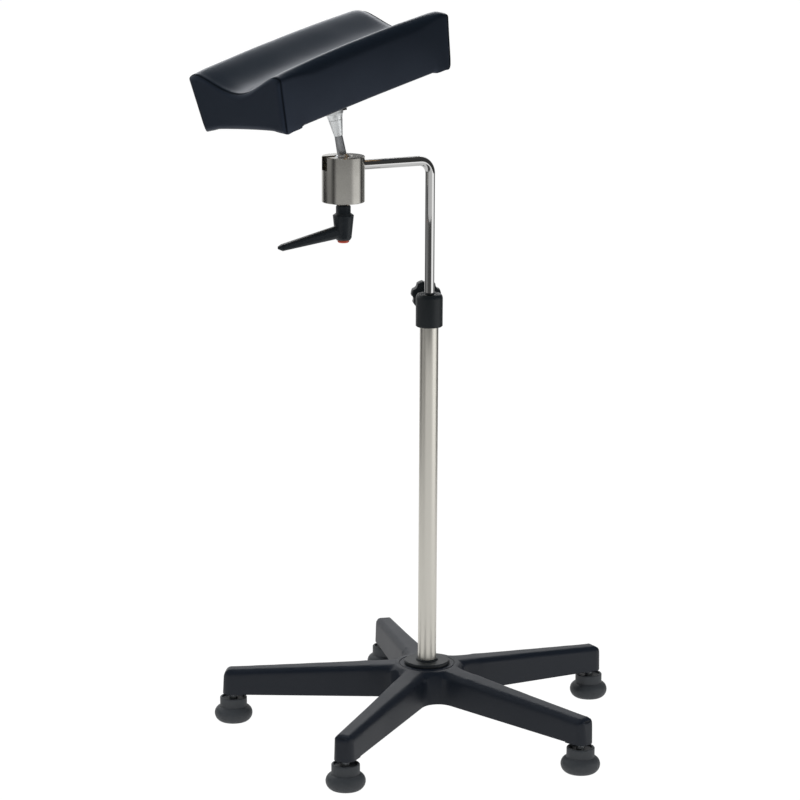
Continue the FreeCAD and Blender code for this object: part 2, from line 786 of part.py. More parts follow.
def rod_guide():
    low = "(rod_bottom + guide_lift)"
    high = "(%s + guide_length)" % low
    outer = "(%s - running_gap)" % tube_bore
    turned_part("rod_guide", [
        ("rod_radius + running_gap", low), (outer + " - guide_edge", low), (outer, low + " + guide_edge"),
        (outer, high + " - guide_edge"), (outer + " - guide_edge", high), ("rod_radius + running_gap", high)])
    clips = []
    for name, bottom in (("lower", low + " - clear_gap - circlip_thickness"),
                         ("upper", high + " + clear_gap")):
        clip = new_body("rod_circlip_" + name)
        revolve(clip, ring("rod_radius", "rod_radius + circlip_width",
                           bottom, bottom + " + circlip_thickness"))
        clips.append(clip)
    add_part(group("rod_circlip_pair", clips), "rod_circlips")


bent_rod()
rod_guide()

# Ball housing: turned steel body with the socket for the ball, and a notch the stem drops into

seat_radius = "(ball_radius + running_gap)"


def ball_housing():
    turned = new_body("housing_body")
    lip = "(ball_depth - mouth_flare_depth)"
    mouth = "sqrt(%s * %s - %s * %s)" % (seat_radius, seat_radius, lip, lip)
    revolve(turned, [
        (seat_radius, "housing_bottom"), ("housing_radius - housing_edge", "housing_bottom"),
        ("housing_radius", "housing_bottom + housing_edge"),
        ("housing_radius", housing_top + " - housing_edge"),
        ("housing_radius - housing_edge", housing_top),
        (mouth + " + mouth_flare", housing_top),
        (mouth, housing_top + " - mouth_flare_depth", "-" + seat_radius), (seat_radius, ball_z)])
    place(turned, housing_x)
    notch = box("housing_notch", "housing_radius + overrun", "notch_width", "notch_depth + overrun",
                x="%s - (housing_radius + overrun) / 2" % housing_x, z=housing_top + " - notch_depth")
    bore = doc.addObject("Part::Cylinder", "housing_rod_bore")
    bind(bore, Radius="rod_radius", Height="housing_radius")
    place(bore, "-" + rod_end, z="arm_height", axis="0; 1; 0", angle="90")
    add_part(cut("housing_cut", turned, fuse("housing_cuts", [notch, bore])), "ball_housing")


def housing_inside():
    fitted = "(%s - seat_gap)" % seat_radius
    plug = turned_part("housing_plug", ring(
        "clamp_stud_radius + running_gap", fitted, "housing_bottom + plug_inset",
        "housing_bottom + plug_inset + plug_height"))
    place(plug, housing_x)
    piece = turned_part("pressure_piece", [
        ("0", "pressure_bottom"), ("pressure_radius", "pressure_bottom"),
        ("pressure_radius", "pressure_bottom + pressure_height"), ("0", "pressure_bottom + pressure_height")])
    place(piece, housing_x)
    low = "(pressure_bottom + pressure_height + clear_gap)"
    cup = "(ball_radius + clear_gap)"
    rim = "sqrt(%s * %s - seat_rim_drop * seat_rim_drop)" % (cup, cup)
    seat = turned_part("ball_seat", [
        ("0", low), ("pressure_radius", low), ("pressure_radius", ball_z + " - seat_rim_drop"),
        (rim, ball_z + " - seat_rim_drop", "-" + cup), ("0", ball_z + " - " + cup)])
    place(seat, housing_x)
    washer = turned_part("lever_washer", ring(
        "clamp_stud_radius + running_gap", "lever_washer_radius",
        "housing_bottom - seat_gap - lever_washer_height", "housing_bottom - seat_gap"))
    place(washer, housing_x)


ball_housing()
housing_inside()

# Ball, stem and cone, in the leaning frame whose origin is the ball's centre

def ball_stud():
    root = "sqrt(ball_radius * ball_radius - stem_root_radius * stem_root_radius)"
    stud = turned_part("ball_stud", [
        ("0", "-ball_radius", "ball_radius"), ("ball_radius", "0", "ball_radius"),
        ("stem_root_radius", root), ("stem_tip_radius", "cone_start"),
        ("stem_spigot_radius", "cone_start"), ("stem_spigot_radius", "cone_start + stem_spigot_length"),
        ("0", "cone_start + stem_spigot_length")])
    place_on(stud, tilted)
    depth = "(cone_start + stem_spigot_length + seat_gap)"
    cone = turned_part("stem_cone", [
        ("stem_spigot_radius + seat_gap", "cone_start"), ("cone_start_radius", "cone_start"),
        ("cone_end_radius", "cone_end"), ("head_spigot_radius", "cone_end"),
        ("head_spigot_radius", "cone_end + head_spigot_length"), ("0", "cone_end + head_spigot_length"),
        ("0", depth), ("stem_spigot_radius + seat_gap", depth)])
    place_on(cone, tilted)


ball_stud()

# Head socket: cast socket and plate that turn on the cone's spigot, with the screws through it

plate_top = "(plate_bottom + plate_thickness)"
screw_places = [("%splate_screw_x" % a, "%splate_screw_y" % b) for a in ("", "-") for b in ("", "-")]


def head_socket():
    tube = new_body("socket_tube")
    bore = "(head_spigot_radius + running_gap)"
    deep = "(cone_end + head_spigot_length + clear_gap)"
    revolve(tube, [
        (bore, "cone_end + clear_gap"), ("cone_end_radius", "cone_end + clear_gap"),
        ("socket_flare_radius", "socket_flare_end"), ("socket_radius", "socket_shoulder"),
        ("socket_radius", "plate_bottom + overrun"), ("0", "plate_bottom + overrun"),
        ("0", deep), (bore, deep)])
    place_on(tube, spun)
    plate = new_body("socket_plate")
    pad(plate, rounded("plate_length", "plate_width", "plate_corner"), "plate_bottom", "plate_thickness")
    place_on(plate, spun)
    holes = [cylinder("plate_hole_%d" % (i + 1), "plate_screw_radius + seat_gap",
                      "plate_thickness + 2 * overrun", spun, x, y, "plate_bottom - overrun")
             for i, (x, y) in enumerate(screw_places)]
    side = spun + (" * placement(vector(0; 0; lock_screw_height);"
                   " rotation(vector(0; 0; 1); lock_screw_azimuth))"
                   " * placement(vector(0; 0; 0); rotation(vector(0; 1; 0); 90))")
    holes.append(cylinder("lock_screw_bore", "lock_screw_radius + seat_gap", "socket_radius + overrun", side,
                          z="head_spigot_radius - overrun"))
    casting = fuse("socket_casting", [tube, plate])
    add_part(cut("socket_drilled", casting, fuse("socket_holes", holes)), "head_socket")
    screw = new_body("lock_screw_body")
    seat = "(socket_radius + seat_gap)"
    revolve(screw, [
        ("0", bore + " + clear_gap"), ("lock_screw_radius", bore + " + clear_gap"),
        ("lock_screw_radius", seat),
        ("lock_screw_head", seat), ("lock_screw_head", seat + " + lock_screw_head_length"),
        ("0", seat + " + lock_screw_head_length")])
    place_on(screw, side)
    recess = new_body("lock_screw_recess")
    corner = "(lock_screw_hex * 2 / sqrt(3))"
    hexagon = [("%s * cos(%d)" % (corner, 60 * i), "%s * sin(%d)" % (corner, 60 * i)) for i in range(6)]
    pad(recess, hexagon, seat + " + lock_screw_head_length / 2", "lock_screw_head_length")
    place_on(recess, side)
    add_part(cut("lock_screw_cut", screw, recess), "socket_lock_screw")


def head_fasteners():
    screws, nuts = [], []
    board_top = "(%s + board_thickness)" % plate_top
    for i, (x, y) in enumerate(screw_places):
        screw = new_body("plate_screw_%d" % (i + 1))
        revolve(screw, [
            ("0", "plate_bottom - plate_screw_head_height"),
            ("plate_screw_head * plate_screw_flat_share", "plate_bottom - plate_screw_head_height"),
            ("plate_screw_head", "plate_bottom - plate_screw_head_height / 2"),
            ("plate_screw_head", "plate_bottom"), ("plate_screw_radius", "plate_bottom"),
            ("plate_screw_radius", "plate_bottom + plate_screw_reach"),
            ("0", "plate_bottom + plate_screw_reach")])
        screws.append(place_on(screw, spun, x, y))
        nut = new_body("tee_nut_%d" % (i + 1))
        revolve(nut, [
            ("plate_screw_radius + seat_gap", board_top + " - tee_barrel_length"),
            ("tee_barrel_radius", board_top + " - tee_barrel_length"), ("tee_barrel_radius", board_top),
            ("tee_flange_radius", board_top), ("tee_flange_radius", board_top + " + tee_flange_height"),
            ("plate_screw_radius + seat_gap", board_top + " + tee_flange_height")])
        nuts.append(place_on(nut, spun, x, y))
    add_part(group("plate_screw_set", screws), "plate_screws")
    add_part(group("tee_nut_set", nuts), "tee_nuts")


head_socket()
head_fasteners()

# Pad: board, foam and cover with a trough along it, in the head's frame (X runs along the pad)

pad_bottom = "(plate_bottom + plate_thickness - cover_thickness)"
board_bottom = plate_top
crest = "(%s + pad_height)" % pad_bottom
under_length = "(pad_length - 2 * pad_end_taper)"
under_width = "(pad_width - 2 * pad_side_taper)"
trough_bend = ("((crest_offset * crest_offset + (crest_radius - trough_depth) * (crest_radius - trough_depth)"
               " - crest_radius * crest_radius) / (2 * trough_depth))")


def trough_outline(inset, lift):
    """The pad's cross-section: two crests with a trough between them, and eased shoulders."""
    top = "(%s + %s)" % (crest, lift)
    crest_bend = "(crest_radius - (%s))" % inset
    fall = "(%s - trough_depth + crest_radius)" % trough_bend
    reach = "(%s + crest_radius)" % trough_bend
    dip = ("(crest_offset - %s * crest_offset / %s)" % (crest_bend, reach),
           "%s - crest_radius + %s * %s / %s" % (top, crest_bend, fall, reach))
    out = "(pad_width / 2 - crest_offset - shoulder_edge)"
    span = "(shoulder_bend - shoulder_edge)"
    up = "sqrt(%s * %s - %s * %s)" % (span, span, out, out)
    soft = "(shoulder_bend - (%s))" % inset
    turn = ("(crest_offset + %s * %s / %s)" % (soft, out, span),
            "%s - shoulder_bend + %s * %s / %s" % (top, soft, up, span))
    edge = ("(pad_width / 2 - (%s))" % inset, "%s - shoulder_bend + %s" % (top, up))
    tip = ("crest_offset", "%s - (%s)" % (top, inset))
    low = "%s - overrun" % pad_bottom
    mirror = lambda corner: ("-" + corner[0],) + corner[1:]
    edge_bend = "(shoulder_edge - (%s))" % inset
    return [
        (mirror(edge)[0], low), (edge[0], low), edge + (edge_bend,), turn + (soft,), tip + (crest_bend,),
        dip + ("-(%s + (%s))" % (trough_bend, inset),), mirror(dip) + (crest_bend,), mirror(tip) + (soft,),
        mirror(turn) + (edge_bend,), mirror(edge)]


def bowed(length, width, corner, side_bow, end_bow):
    """A rounded rectangle whose sides are drawn in at the middle."""
    outline = rounded(length, width, corner)
    for i, (run, bow) in enumerate(2 * ((length, side_bow), (width, end_bow))):
        half = "((%s) / 2 - %s)" % (run, corner)
        outline[2 * i] += ("-(%s * %s / (2 * %s) + %s / 2)" % (half, half, bow, bow),)
    return outline


def upholstery(name, inset):
    """The pad's form, moved inwards by inset."""
    trough = new_body(name + "_trough")
    loft = trough.newObject("PartDesign::AdditiveLoft", name + "_trough_loft")
    sections = [
        draw(trough, "%s_section_%s" % (name, end), "YZ_Plane", trough_outline(inset, lift), along)
        for end, along, lift in (("left", "-(pad_length / 2 + overrun)", "0"), ("middle", "0", "pad_crown"),
                                 ("right", "pad_length / 2 + overrun", "0"))]
    loft.Profile = sections[0]
    loft.Sections = sections[1:]
    place_on(trough, spun)
    block = new_body(name + "_block")
    taper = block.newObject("PartDesign::AdditiveLoft", name + "_block_loft")
    corner = "(pad_corner - (%s))" % inset
    ends = []
    for end, height, length, width, bow in (
            ("under", pad_bottom + " + (%s)" % inset, under_length, under_width, "1"),
            ("upper", crest + " + pad_height / 10", "(pad_length + 2 * pad_end_taper / 10)",
             "(pad_width + 2 * pad_side_taper / 10)", "0.2")):
        ends.append(draw(block, "%s_block_%s" % (name, end), "XY_Plane", bowed(
            "%s - 2 * (%s)" % (length, inset), "%s - 2 * (%s)" % (width, inset), corner,
            "(pad_side_bow * %s)" % bow, "(pad_end_bow * %s)" % bow), height))
    taper.Profile = ends[0]
    taper.Sections = ends[1:]
    taper.Ruled = True
    place_on(block, spun)
    return common(name, [trough, block])


def plate_block(name, length, width, corner, bottom, height):
    block = new_body(name)
    pad(block, rounded(length, width, corner), bottom, height)
    return place_on(block, spun)


def pad_pieces():
    board_length = "%s - 2 * board_margin" % under_length
    board_width = "%s - 2 * board_margin" % under_width
    board = plate_block("board_blank", board_length, board_width, "board_corner", board_bottom,
                        "board_thickness")
    drills = [cylinder("board_hole_%d" % (i + 1), "tee_barrel_radius + seat_gap",
                       "board_thickness + 2 * overrun", spun, x, y, board_bottom + " - overrun")
              for i, (x, y) in enumerate(screw_places)]
    add_part(cut("board_drilled", board, fuse("board_holes", drills)), "pad_board")
    room = [plate_block("foam_board_room", board_length + " + 2 * seat_gap", board_width + " + 2 * seat_gap",
                        "board_corner + seat_gap", board_bottom + " - 2 * overrun",
                        "board_thickness + 2 * overrun + seat_gap")]
    room += [cylinder("foam_nut_room_%d" % (i + 1), "tee_flange_radius + seat_gap",
                      "board_thickness + tee_flange_height + seat_gap", spun, x, y, board_bottom)
             for i, (x, y) in enumerate(screw_places)]
    filling = upholstery("foam_form", "cover_thickness + seat_gap")
    add_part(cut("foam_shaped", filling, fuse("foam_rooms", room)), "pad_foam")
    tucks = []
    for i, (a, b) in enumerate((("", ""), ("", "-"), ("-", ""), ("-", "-"))):
        tuck = doc.addObject("Part::Ellipsoid", "cover_tuck_%d" % (i + 1))
        bind(tuck, Radius1="tuck_drop + cover_thickness", Radius2="tuck_length / 2", Radius3="tuck_width / 2")
        tucks.append(place_on(tuck, spun, "%s(%s / 2 - tuck_inset)" % (a, under_length),
                              "%s(%s / 2 - tuck_inset)" % (b, under_width),
                              pad_bottom + " + cover_thickness"))
    skin = fuse("cover_skin", [upholstery("cover_form", "0")] + tucks)
    opening = plate_block("cover_opening", "%s - 2 * cover_turn_under" % under_length,
                          "%s - 2 * cover_turn_under" % under_width, "board_corner",
                          pad_bottom + " - tuck_drop - overrun", "board_thickness")
    hollow = fuse("cover_hollow", [upholstery("cover_inner_form", "cover_thickness"), opening])
    add_part(cut("cover_sewn", skin, hollow), "pad_cover")
    staples = []
    for side in ("", "-"):
        for i in range(int(value("staple_count"))):
            x = "(%s - 2 * staple_inset) * (%d / (staple_count - 1) - 0.5)" % (under_length, i)
            staples.append(staple(len(staples), x, "%s(%s / 2 - staple_inset)" % (side, under_width), "0"))
        for i in range(int(value("end_staple_count"))):
            y = "(%s - 2 * staple_inset) * (%d / (end_staple_count + 1) - 0.5)" % (under_width, i + 1)
            staples.append(staple(len(staples), "%s(%s / 2 - staple_inset)" % (side, under_length), y, "90"))
    add_part(group("staple_set", staples), "cover_staples")


def staple(number, x, y, turn):
    return box("staple_%d" % (number + 1), "staple_length", "staple_wire", "staple_wire",
               spun, x, y, pad_bottom + " - staple_wire", turn)


pad_pieces()

# Clamping lever under the housing, with its stud, spring and push button

button_floor = "(lever_bottom + button_skirt)"
shelf_bottom = "(lever_insert_bottom - lever_shelf)"


def lever_handle():
    hub = new_body("lever_hub")
    revolve(hub, [
        ("retaining_radius + seat_gap", shelf_bottom), ("button_radius + running_gap", shelf_bottom),
        ("button_radius + running_gap", "lever_bottom"),
        ("lever_foot_radius - lever_foot_edge", "lever_bottom"),
        ("lever_foot_radius", "lever_foot"), ("lever_hub_radius", "lever_shoulder"),
        ("lever_neck_radius", "lever_neck_bottom"), ("lever_neck_radius", "lever_top - lever_neck_edge"),
        ("lever_neck_radius - lever_neck_edge", "lever_top"),
        ("lever_insert_radius + seat_gap", "lever_top"),
        ("lever_insert_radius + seat_gap", "lever_insert_bottom"),
        ("retaining_radius + seat_gap", "lever_insert_bottom")])
    place(hub, housing_x)
    arm = new_body("lever_arm")
    loft = arm.newObject("PartDesign::AdditiveLoft", "lever_arm_loft")
    sections = []
    middle = "((lever_tip_top + lever_tip_bottom) / 2)"
    root_rise = "(lever_root_top - lever_root_bottom)"
    tip_rise = "(lever_tip_top - lever_tip_bottom)"
    for end, along, width, bottom, rise in (
            ("root", "-lever_root", "lever_root_width", "lever_root_bottom", root_rise),
            ("tip", "-(lever_reach - lever_nose)", "lever_tip_width", "lever_tip_bottom", tip_rise),
            ("nose", "-lever_reach", "(lever_tip_width * lever_nose_share)",
             "(%s - %s * lever_nose_share / 2)" % (middle, tip_rise), "(%s * lever_nose_share)" % tip_rise)):
        corner = "(%s * lever_corner_share)" % rise
        outline = [(x, "%s + %s / 2 + (%s)" % (bottom, rise, y)) + tuple(bend)
                   for x, y, *bend in rounded(width, rise, corner)]
        sections.append(draw(arm, "lever_arm_" + end, "YZ_Plane", outline, along))
    loft.Profile = sections[0]
    loft.Sections = sections[1:]
    loft.Ruled = True
    place(arm, housing_x)
    add_part(fuse("lever_moulding", [hub, arm]), "lever_handle")


def lever_inside():
    bore = "(retaining_radius + seat_gap)"
    insert = turned_part("lever_insert", [
        (bore, "lever_insert_bottom"), ("lever_insert_radius", "lever_insert_bottom"),
        ("lever_insert_radius", "lever_top - clear_gap"),
        ("clamp_stud_radius + seat_gap", "lever_top - clear_gap"),
        ("clamp_stud_radius + seat_gap", "clamp_stud_bottom - seat_gap"),
        (bore, "clamp_stud_bottom - seat_gap")])
    place(insert, housing_x)
    stud = turned_part("clamp_stud", [
        ("0", "clamp_stud_bottom"), ("clamp_stud_radius", "clamp_stud_bottom"),
        ("clamp_stud_radius", "pressure_bottom - clear_gap"), ("0", "pressure_bottom - clear_gap")])
    place(stud, housing_x)
    screw = turned_part("retaining_screw", [
        ("0", shelf_bottom + " - retaining_head_height"),
        ("retaining_head_radius", shelf_bottom + " - retaining_head_height"),
        ("retaining_head_radius", shelf_bottom), ("retaining_radius", shelf_bottom),
        ("retaining_radius", shelf_bottom + " + retaining_reach"),
        ("0", shelf_bottom + " + retaining_reach")])
    place(screw, housing_x)
    button = turned_part("lever_button", [
        ("0", "lever_bottom - button_drop"), ("button_radius - button_dome", "lever_bottom - button_drop"),
        ("button_radius", "lever_bottom - button_drop + button_dome"),
        ("button_radius", button_floor + " + button_skirt"),
        ("spring_coil_radius + 2 * spring_wire_radius", button_floor + " + button_skirt"),
        ("spring_coil_radius + 2 * spring_wire_radius", button_floor), ("0", button_floor)])
    place(button, housing_x)
    spring = new_body("button_spring")
    coil = spring.newObject("PartDesign::AdditiveHelix", "button_spring_coil")
    foot = "(%s + spring_wire_radius + seat_gap)" % button_floor
    wire = draw(spring, "button_spring_wire", "XZ_Plane",
                circle("spring_wire_radius", "spring_coil_radius", foot))
    coil.Profile = wire
    coil.ReferenceAxis = (wire, ["V_Axis"])
    coil.Mode = "height-turns-angle"
    bind(coil, Height="%s - spring_wire_radius - seat_gap - %s" % (shelf_bottom, foot), Turns="spring_turns")
    place(add_part(spring, "button_spring"), housing_x)


lever_handle()
lever_inside()

doc.recompute()
for item in doc.Objects:
    faults = {"Invalid", "Error"} & set(item.State)
    assert not faults, "%s: %s" % (item.Label, item.getStatusString())
for item in parts:
    assert not item.Shape.isNull() and item.Shape.isValid(), item.Label + " has no valid shape"
os.makedirs("parts", exist_ok=True)
for item in parts:
    item.Shape.exportStep("parts/" + item.Label + ".step")
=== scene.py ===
# Dresses the forearm rest's frame: vinyl pad, moulded nylon base, steel column and chromed arm.
import json
import math

import bmesh
import bpy
from mathutils import Matrix, Vector, noise

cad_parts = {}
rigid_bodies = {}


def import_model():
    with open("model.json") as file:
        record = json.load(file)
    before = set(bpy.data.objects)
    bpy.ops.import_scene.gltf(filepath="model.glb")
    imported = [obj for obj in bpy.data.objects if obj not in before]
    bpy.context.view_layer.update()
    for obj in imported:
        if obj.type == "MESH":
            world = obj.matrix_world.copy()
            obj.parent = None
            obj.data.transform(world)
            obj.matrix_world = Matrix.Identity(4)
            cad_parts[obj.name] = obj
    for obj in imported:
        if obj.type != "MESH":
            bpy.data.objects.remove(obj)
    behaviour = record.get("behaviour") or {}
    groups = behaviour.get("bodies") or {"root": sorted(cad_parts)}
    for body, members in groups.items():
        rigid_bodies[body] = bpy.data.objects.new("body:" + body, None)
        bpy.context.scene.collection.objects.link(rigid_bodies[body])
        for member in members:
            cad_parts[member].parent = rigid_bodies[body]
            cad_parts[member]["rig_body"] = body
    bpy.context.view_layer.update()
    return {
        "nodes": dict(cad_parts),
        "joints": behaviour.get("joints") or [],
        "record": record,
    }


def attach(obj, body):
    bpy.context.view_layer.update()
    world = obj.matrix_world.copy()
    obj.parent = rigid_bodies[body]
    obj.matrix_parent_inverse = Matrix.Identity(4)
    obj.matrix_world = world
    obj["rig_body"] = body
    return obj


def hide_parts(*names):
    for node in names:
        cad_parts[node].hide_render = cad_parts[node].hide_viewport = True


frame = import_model()
nodes = frame["nodes"]
print("frame loaded,", len(nodes), "nodes")

# Finishes

grit = {
    # colours
    "nylonColour": "#151b24",
    "footColour": "#3b3e41",
    "fittingColour": "#1c2124",
    "leverColour": "#1d2328",
    "buttonColour": "#bf4a30",
    "acetalColour": "#dddbd3",
    "tubeColour": "#dad7ce",
    "chromeColour": "#cececd",
    "polishedColour": "#b2b0aa",
    "stemColour": "#b2b5b8",
    "coneColour": "#eceff0",
    "zincColour": "#a9adb0",
    "screwColour": "#2a2b2d",
    "brassColour": "#b89a55",
    "plyColour": "#b08d5f",
    "plyDark": "#9c7a4e",
    "plyPale": "#c4a273",
    "foamColour": "#c9c5b4",
    "vinylColour": "#11171e",
    # painted shade for the seam groove, with a little dust, mixed into the vinyl's colour
    "seamShadeColour": "#07090b",
    # strength of the sheen, and its tint on the vinyl
    "nylonSheen": 0.32,
    "vinylSheen": 0.5,
    "vinylTint": "#c0d6ff",
    # sizes of the patterns, in metres
    "sparkGrain": 0.0009,
    "brushStep": 0.0006,
    "vinylGrain": 0.0014,
    # slower patterns, in waves to the metre
    "flowMarks": 14,
    "wheelHaze": 60,
    "lacquerPeel": 500,
    "vinylWear": 22,
    # how far the roughness wanders: added on nylon and steel, a factor on a mirror, as it is on vinyl
    "nylonWander": (-0.05, 0.06),
    "steelWander": (-0.06, 0.08),
    "mirrorWander": (0.7, 1.4),
    "vinylRough": (0.36, 0.46),
    "seamRough": 0.9,
}


def linear(code):
    # an sRGB hex code as linear light
    parts = [int(code[i:i + 2], 16) / 255 for i in (1, 3, 5)]
    return [c / 12.92 if c <= 0.04045 else ((c + 0.055) / 1.055) ** 2.4 for c in parts] + [1]


def addNode(tree, kind, settings=(), links=()):
    node = tree.nodes.new(kind)
    for name, value in dict(settings).items():
        if isinstance(name, int) or name in node.inputs:
            node.inputs[name].default_value = value
        else:
            setattr(node, name, value)
    for name, source in dict(links).items():
        tree.links.new(source, node.inputs[name])
    return node


def newFinish(name, colour, roughness, metallic=0, **more):
    finish = bpy.data.materials.new(name)
    finish.use_nodes = True
    tree = finish.node_tree
    shader = tree.nodes["Principled BSDF"]
    shader.inputs["Base Color"].default_value = linear(colour)
    shader.inputs["Roughness"].default_value = roughness
    shader.inputs["Metallic"].default_value = metallic
    for key, value in more.items():
        shader.inputs[key.replace("_", " ")].default_value = value
    place = addNode(tree, "ShaderNodeTexCoord")
    return finish, tree, shader, place.outputs["Object"]


def mouldedNylon(name, colour, roughness, depth=0.00006, rounding=0.0015):
    # glass-filled nylon from a spark-eroded mould: satin, with a fine even grain
    finish, tree, shader, place = newFinish(name, colour, roughness, IOR=1.53,
                                            Specular_IOR_Level=grit["nylonSheen"])
    grain = addNode(tree, "ShaderNodeTexNoise", {"Scale": 1 / grit["sparkGrain"], "Detail": 3},
                    {"Vector": place})
    # no edge of a moulding is quite sharp: the light rolls round each corner
    corner = addNode(tree, "ShaderNodeBevel", {"samples": 6, "Radius": rounding})
    bump = addNode(tree, "ShaderNodeBump", {"Strength": 0.5, "Distance": depth},
                   {"Height": grain.outputs["Fac"], "Normal": corner.outputs["Normal"]})
    tree.links.new(bump.outputs["Normal"], shader.inputs["Normal"])
    # slow flow marks change the gloss a little from place to place
    flow = addNode(tree, "ShaderNodeTexNoise", {"Scale": grit["flowMarks"], "Detail": 2}, {"Vector": place})
    low, high = grit["nylonWander"]
    gloss = addNode(tree, "ShaderNodeMapRange", {"To Min": roughness + low, "To Max": roughness + high},
                    {"Value": flow.outputs["Fac"]})
    tree.links.new(gloss.outputs["Result"], shader.inputs["Roughness"])
    return finish


def brushedSteel(name, colour, roughness, along=(1, 1, 0.02), depth=0.00001):
    # stainless tube, drawn and brushed along its length: fine streaks that spread the light
    finish, tree, shader, place = newFinish(name, colour, roughness, 1)
    stretch = addNode(tree, "ShaderNodeMapping", {"Scale": along}, {"Vector": place})
    streak = addNode(tree, "ShaderNodeTexNoise", {"Scale": 1 / grit["brushStep"], "Detail": 4},
                     {"Vector": stretch.outputs["Vector"]})
    bump = addNode(tree, "ShaderNodeBump", {"Strength": 0.4, "Distance": depth},
                   {"Height": streak.outputs["Fac"]})
    tree.links.new(bump.outputs["Normal"], shader.inputs["Normal"])
    low, high = grit["steelWander"]
    gloss = addNode(tree, "ShaderNodeMapRange", {"To Min": roughness + low, "To Max": roughness + high},
                    {"Value": streak.outputs["Fac"]})
    tree.links.new(gloss.outputs["Result"], shader.inputs["Roughness"])
    return finish


def polishedMetal(name, colour, roughness):
    # buffed surface: a clear mirror with the faintest haze from the wheel
    finish, tree, shader, place = newFinish(name, colour, roughness, 1)
    haze = addNode(tree, "ShaderNodeTexNoise", {"Scale": grit["wheelHaze"], "Detail": 4}, {"Vector": place})
    low, high = grit["mirrorWander"]
    gloss = addNode(tree, "ShaderNodeMapRange", {"To Min": roughness * low, "To Max": roughness * high},
                    {"Value": haze.outputs["Fac"]})
    tree.links.new(gloss.outputs["Result"], shader.inputs["Roughness"])
    return finish


def castSilver(name, colour, roughness):
    # die casting under silver lacquer: soft metallic sheen over a faint orange peel
    finish, tree, shader, place = newFinish(name, colour, roughness, metallic=0.85)
    peel = addNode(tree, "ShaderNodeTexNoise", {"Scale": grit["lacquerPeel"], "Detail": 2}, {"Vector": place})
    bump = addNode(tree, "ShaderNodeBump", {"Strength": 0.3, "Distance": 0.00008},
                   {"Height": peel.outputs["Fac"]})
    tree.links.new(bump.outputs["Normal"], shader.inputs["Normal"])
    return finish


def grainedVinyl(name):
    # upholstery vinyl: fine pebble grain, satin gloss, and each seam darkened with painted shade and a little
    # dust
    finish, tree, shader, place = newFinish(name, grit["vinylColour"], grit["vinylRough"][0], IOR=1.5,
                                            Specular_IOR_Level=grit["vinylSheen"],
                                            Specular_Tint=linear(grit["vinylTint"]))
    scale = 1 / grit["vinylGrain"]
    wander = addNode(tree, "ShaderNodeTexNoise", {"Scale": scale * 0.4, "Detail": 2}, {"Vector": place})
    bent = addNode(tree, "ShaderNodeMix", {"data_type": "VECTOR", "Factor": 0.0006},
                   {"A": place, "B": wander.outputs["Color"]})
    pebble = addNode(tree, "ShaderNodeTexVoronoi",
                     {"feature": "SMOOTH_F1", "Scale": scale, "Smoothness": 0.6},
                     {"Vector": bent.outputs["Result"]})
    bump = addNode(tree, "ShaderNodeBump", {"Strength": 0.16, "Distance": 0.0001, "invert": True},
                   {"Height": pebble.outputs["Distance"]})
    tree.links.new(bump.outputs["Normal"], shader.inputs["Normal"])
    # the cover's own attribute says where a seam runs: mostly painted shade, with a little dust, darkens the
    # colour there, and the vinyl is duller
    seam = addNode(tree, "ShaderNodeAttribute", {"attribute_name": "seam"})
    tone = addNode(tree, "ShaderNodeMix", {"data_type": "RGBA"}, {"Factor": seam.outputs["Fac"]})
    colourSockets = [s for s in tone.inputs if s.type == "RGBA"]
    colourSockets[0].default_value = linear(grit["vinylColour"])
    colourSockets[1].default_value = linear(grit["seamShadeColour"])
    tree.links.new([s for s in tone.outputs if s.type == "RGBA"][0], shader.inputs["Base Color"])
    wear = addNode(tree, "ShaderNodeTexNoise", {"Scale": grit["vinylWear"], "Detail": 3},
                   {"Vector": place})
    low, high = grit["vinylRough"]
    gloss = addNode(tree, "ShaderNodeMapRange", {"To Min": low, "To Max": high},
                    {"Value": wear.outputs["Fac"]})
    dull = addNode(tree, "ShaderNodeMix", {"data_type": "FLOAT", "B": grit["seamRough"]},
                   {"Factor": seam.outputs["Fac"], "A": gloss.outputs["Result"]})
    tree.links.new(dull.outputs["Result"], shader.inputs["Roughness"])
    return finish


def plywood(name):
    # raw birch ply: long soft grain across the board's face
    finish, tree, shader, place = newFinish(name, grit["plyColour"], 0.7)
    stretch = addNode(tree, "ShaderNodeMapping", {"Scale": (6, 90, 90)}, {"Vector": place})
    grain = addNode(tree, "ShaderNodeTexNoise", {"Scale": 3, "Detail": 5},
                    {"Vector": stretch.outputs["Vector"]})
    tone = addNode(tree, "ShaderNodeValToRGB", (), {"Fac": grain.outputs["Fac"]})
    tone.color_ramp.elements[0].color = linear(grit["plyDark"])
    tone.color_ramp.elements[1].color = linear(grit["plyPale"])
    tree.links.new(tone.outputs["Color"], shader.inputs["Base Color"])
    return finish


